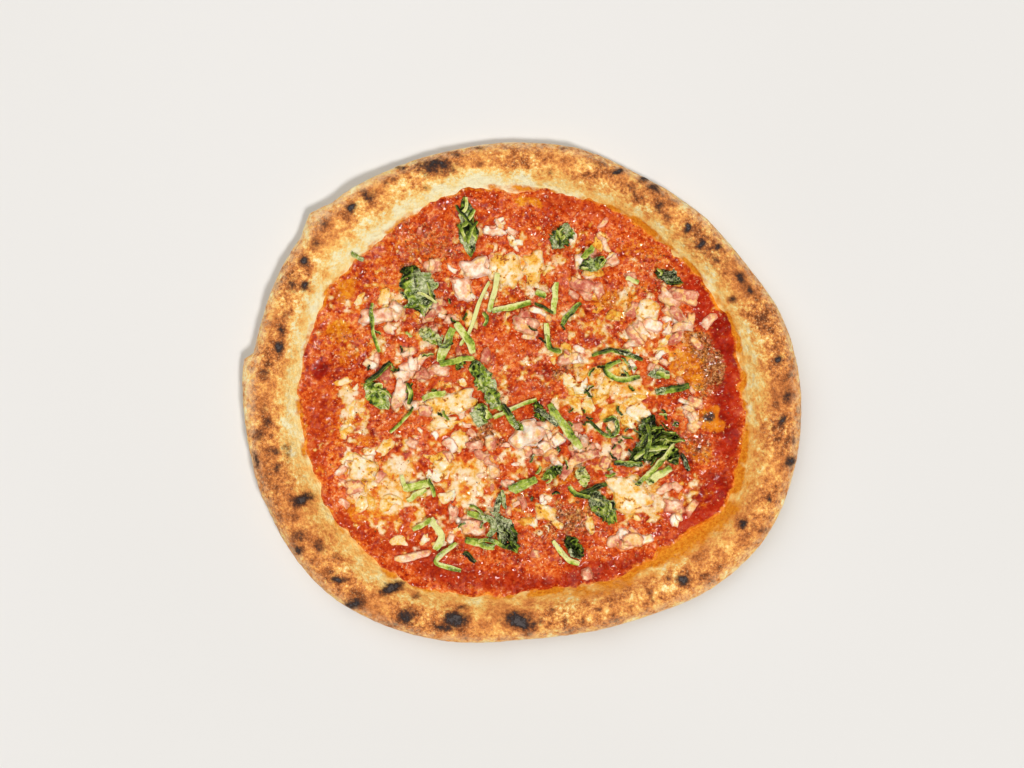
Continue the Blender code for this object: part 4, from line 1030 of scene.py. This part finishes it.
def strip_arrays(spec, seed, steps):
    """Points and masks of a ribbon that is narrower at its ends, troughed and wavy, with lines along it."""
    width, tint, *route = spec
    count = steps * (len(route) - 1)
    middle = smooth_route(route, count)
    ahead = np.gradient(middle, axis=0)
    ahead /= np.linalg.norm(ahead, axis=1)[:, None]
    across = np.linspace(-1, 1, STRIP_ACROSS)
    share = np.linspace(0, 1, count)
    line = np.stack((share * 6, np.zeros(count), np.full(count, seed * 1.7)), axis=-1)
    taper = 0.55 + 0.45 * np.sin(np.pi * share) ** 0.45 + 0.2 * grain(line, 0.7, seed)
    side = np.stack((-ahead[:, 1], ahead[:, 0]), axis=-1)
    middle = middle + side * (0.7 * grain(line, 1.4, seed + 2))[:, None]
    flat = middle[:, None] + side[:, None] * (across[None, :] * taper[:, None] * width / 2)[..., None]
    xy = from_plan(flat[..., 0], flat[..., 1])
    wave = 0.35 + 0.35 * np.sin(7.6 * (len(route) - 1) * share + seed)[:, None]
    height = resting(xy, 2.0 * MM) + (0.4 + wave + 0.55 * np.abs(across)[None, :]) * MM
    height += (0.15 * np.sin(across * 9) + 0.45 * math.cos(seed * 1.3) * across)[None, :] * MM
    height = np.maximum(height, resting(xy, 0.5 * MM) + 0.3 * MM)
    points = np.concatenate((xy, height[..., None]), axis=-1)
    vein = np.exp(-(((across - 0.15) / 0.22) ** 2))
    shade = tint + 0.17 * math.sin(seed * 5.3) + 0.3 * grain(points, 5 * MM, seed)
    # One half of each ribbon is painted lighter and the other darker, as light and shade across a fold, and
    # its edges are painted lighter as highlights
    shade += 0.3 * math.cos(seed * 2.1) * across + 0.12 * np.abs(across) ** 3
    dust = 0.3 + 0.9 * grain(points, 16 * MM, 77)
    return points, {"tint": shade, "vein": vein * 0.8, "dust": dust, "edge": np.abs(across)}


def lay_strips(name, specs, first_seed, look, slot, thickness, *nodes, steps=STRIP_STEPS):
    """One or many ribbons as one mesh."""
    points, faces, start = [], [], 0
    masks = {key: [] for key in ("tint", "vein", "dust", "edge")}
    for number, spec in enumerate(specs):
        made, values = strip_arrays(spec, first_seed + number, steps)
        pile(made)
        faces += [[corner + start for corner in face] for face in grid_faces(*made.shape[:2], False)]
        start += made.shape[0] * made.shape[1]
        points.append(made.reshape(-1, 3))
        for key, value in values.items():
            masks[key].append(np.broadcast_to(value, made.shape[:2]).ravel())
    joined = {key: np.concatenate(values) for key, values in masks.items()}
    thin_piece(name, np.concatenate(points), faces, joined, look, slot, thickness, *nodes)


def short_cut(middle, lean, half, bend, width, tint):
    """A short shred through its middle in this direction, as a spec like those of the longer ones."""
    ahead = half * np.array((math.cos(lean), math.sin(lean)))
    aside = bend * np.array((-math.sin(lean), math.cos(lean)))
    return width, tint, tuple(middle - ahead), tuple(middle + aside), tuple(middle + ahead)


def fine_cuts(seed):
    """Chopped shreds lying on each leaf, in its direction and across it, and some between the toppings."""
    random = np.random.default_rng(seed)
    pick = random.uniform
    specs = []
    for x, y, length, width, _, degrees, tint, dust in LEAVES:
        for _ in range(round(length * width * (1 - dust) / 22)):
            share, turn = math.sqrt(pick(0, 0.7)), pick(0, math.tau)
            lean = math.radians(degrees)
            u, v = share * math.cos(turn), share * math.sin(turn)
            middle = np.array((x, y)) + turned(u * length / 2, v * width / 2, lean)
            lean += pick(-0.9, 0.9)
            half, bend = pick(0.1, 0.24) * length, pick(-1.6, 1.6)
            specs.append(short_cut(middle, lean, half, bend, pick(0.8, 2.2), tint + pick(-0.15, 0.5)))
    for px, py, half_width, half_height, count in BASIL_CROWDS:
        for _ in range(count):
            share, turn, lean = math.sqrt(pick()), *pick(0, math.tau, 2)
            u, v = share * math.cos(turn), share * math.sin(turn)
            middle = plan_of(px + half_width * u, py + half_height * v)
            half, bend = pick(1.0, 3.4), pick(-0.6, 0.6)
            specs.append(short_cut(middle, lean, half, bend, pick(0.5, 1.3), pick(0.1, 0.6)))
    return specs


def make_specks(look, seed):
    """Grated cheese over the sauce: small four-sided crumbs, thicker where the sauce is browned."""
    random = np.random.default_rng(seed)
    turn = random.uniform(0, math.tau, SPECK_COUNT)
    radius = np.sqrt(random.uniform(0, 1, SPECK_COUNT)) * (sauce_radius(turn) - 2 * MM)
    middles = to_frame(at(turn, radius, 0.0))
    wanted = 0.55 + 0.35 * grain(middles, 12 * MM, 71) + 0.4 * field(middles, BROWN_AND_SHADE_FIELDS_PIXELS)
    wanted -= 0.45 * field(middles, DEEP_AND_SHADE_FIELDS_PIXELS)
    wanted *= 0.5 + 0.5 * level(-np.hypot(*middles[:, :2].T), -125 * MM, -95 * MM)
    middles = middles[random.uniform(0, 1, SPECK_COUNT) < wanted]
    count = len(middles)
    corners = np.array(((1, 0, -0.7), (-0.5, 0.87, -0.7), (-0.5, -0.87, -0.7), (0, 0, 0.8)))
    sides = np.array(((0, 1, 3), (1, 2, 3), (2, 0, 3), (0, 2, 1)))
    size = random.uniform(0.35, 0.75, (count, 1, 3)) * MM * random.choice((0.8, 1.0, 1.4), (count, 1, 1))
    shapes = corners * size
    tints = np.repeat(random.uniform(0, 1, count)[:, None], len(corners), axis=1)
    spin = random.uniform(0, math.tau, count)[:, None]
    middles[:, 2] = ground[cell_of(middles[:, :2])] + SPECK_LIFT
    points = np.stack((*turned(shapes[..., 0], shapes[..., 1], spin), shapes[..., 2]), axis=-1)
    faces = (sides + np.arange(count)[:, None, None] * len(corners)).reshape(-1, 3).tolist()
    piece = mesh_object("grated_cheese", points + middles[:, None], faces, {"tint": tints})
    finish_piece(piece, look, "cheese")


def plain_floor():
    """A pale floor: one large plane."""
    corners = np.array(((-1, -1, 0), (1, -1, 0), (1, 1, 0), (-1, 1, 0))) * FLOOR_HALF
    piece = mesh_object("floor", corners, [(0, 1, 2, 3)])
    look = Look("pale_floor", 0.75)
    look.give(("Base Color", look.ramp(look.noise(400, 81, 2), (0.3, 218, 215, 210), (0.7, 223, 220, 216))))
    piece.data.materials.append(look.material)


def soft_light(name, towards, width, strength):
    """Even light from far off in this direction, from a source this many degrees wide."""
    light = bpy.data.lights.new(name, "SUN")
    light.angle = math.radians(width)
    light.energy = strength
    lamp = bpy.data.objects.new(name, light)
    lamp.location = towards
    lamp.rotation_euler = (-Vector(towards)).to_track_quat("-Z", "Y").to_euler()
    bpy.context.scene.collection.objects.link(lamp)


def camera_above():
    """Straight down, with the photograph's field of view over the pizza."""
    camera = bpy.data.cameras.new("camera")
    camera.lens = LENS_MM
    camera.sensor_width = SENSOR_MM
    width = IMAGE_WIDTH_PIXELS * MM_PER_PIXEL * MM
    stand = bpy.data.objects.new("camera", camera)
    stand.location = (*from_pixels(*IMAGE_MIDDLE_PIXEL), width * LENS_MM / SENSOR_MM + 10 * MM)
    bpy.context.scene.collection.objects.link(stand)
    bpy.context.scene.camera = stand


def studio():
    world = bpy.data.worlds.new("studio")
    bpy.context.scene.world = world
    world.use_nodes = True
    background = world.node_tree.nodes["Background"]
    background.inputs["Color"].default_value = (1, 1, 1, 1)
    background.inputs["Strength"].default_value = WORLD_STRENGTH
    soft_light("key", *KEY_LIGHT)
    soft_light("fill", *FILL_LIGHT)
    bpy.context.scene.view_settings.view_transform = "Standard"


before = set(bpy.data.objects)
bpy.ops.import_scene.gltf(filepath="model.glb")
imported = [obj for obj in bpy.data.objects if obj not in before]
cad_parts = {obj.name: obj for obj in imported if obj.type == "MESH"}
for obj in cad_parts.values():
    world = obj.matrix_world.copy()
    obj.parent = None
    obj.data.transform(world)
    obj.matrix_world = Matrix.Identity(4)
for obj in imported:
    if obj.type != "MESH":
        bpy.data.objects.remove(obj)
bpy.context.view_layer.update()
camera_above()
studio()
plain_floor()

# Each piece is laid on those before it, so their order matters
make_crust(crust_look())
make_sauce(sauce_look())
make_specks(speck_look(), 5)
cheese, ham, basil = cheese_look(), ham_look(), basil_look()
lay_slabs("small_cheese", SMALL_CHEESES, 60, CHEESE_STYLE, cheese, "cheese")
lay_slabs("small_ham", SMALL_HAMS, 80, HAM_STYLE, ham, "ham")
bits = {"sides": BIT_SIDES, "rings": BIT_RINGS}
lay_slabs("cheese_bits", scattered_bits(CHEESE_CROWDS, 3, 1.0), 200, MELT_STYLE, cheese, "cheese", **bits)
lay_slabs("ham_bits", scattered_bits(HAM_CROWDS, 4, 2.0), 700, DICE_STYLE, ham, "ham", **bits)
for number, spec in enumerate(CHEESES, 1):
    node = f"cheese_{number:02d}"
    lay_slabs(f"dressed_{node}", [spec], number, CHEESE_STYLE, cheese, "cheese", node)
for number, spec in enumerate(HAMS, 1):
    node = f"ham_{number:02d}"
    lay_slabs(f"dressed_{node}", [spec], number + 20, HAM_STYLE, ham, "ham", node)
for number, spec in enumerate(HAM_STRIPS, 1):
    node = f"ham_strip_{number:02d}"
    lay_strips(f"dressed_{node}", [spec], number, ham, "ham", HAM_STRIP_THICKNESS, node)
for number, spec in enumerate(LEAVES, 1):
    node = f"basil_leaf_{number:02d}"
    lay_leaf(f"dressed_{node}", spec, number, basil, node)
for number, spec in enumerate(LOOSE_LEAVES, 1):
    lay_leaf(f"loose_leaf_{number:02d}", spec, number + 40, basil)
for number, spec in enumerate(SHREDS, 1):
    node = f"basil_shred_{number:02d}"
    lay_strips(f"dressed_{node}", [spec], number, basil, "basil_shred", SHRED_THICKNESS, node)
cuts = fine_cuts(6)
cuts += [(width, tint, *(plan_of(*point) for point in route)) for width, tint, *route in THIN_SHREDS_PIXELS]
lay_strips("chopped_basil", cuts, 300, basil, "basil_shred", THIN_THICKNESS, steps=THIN_STEPS)
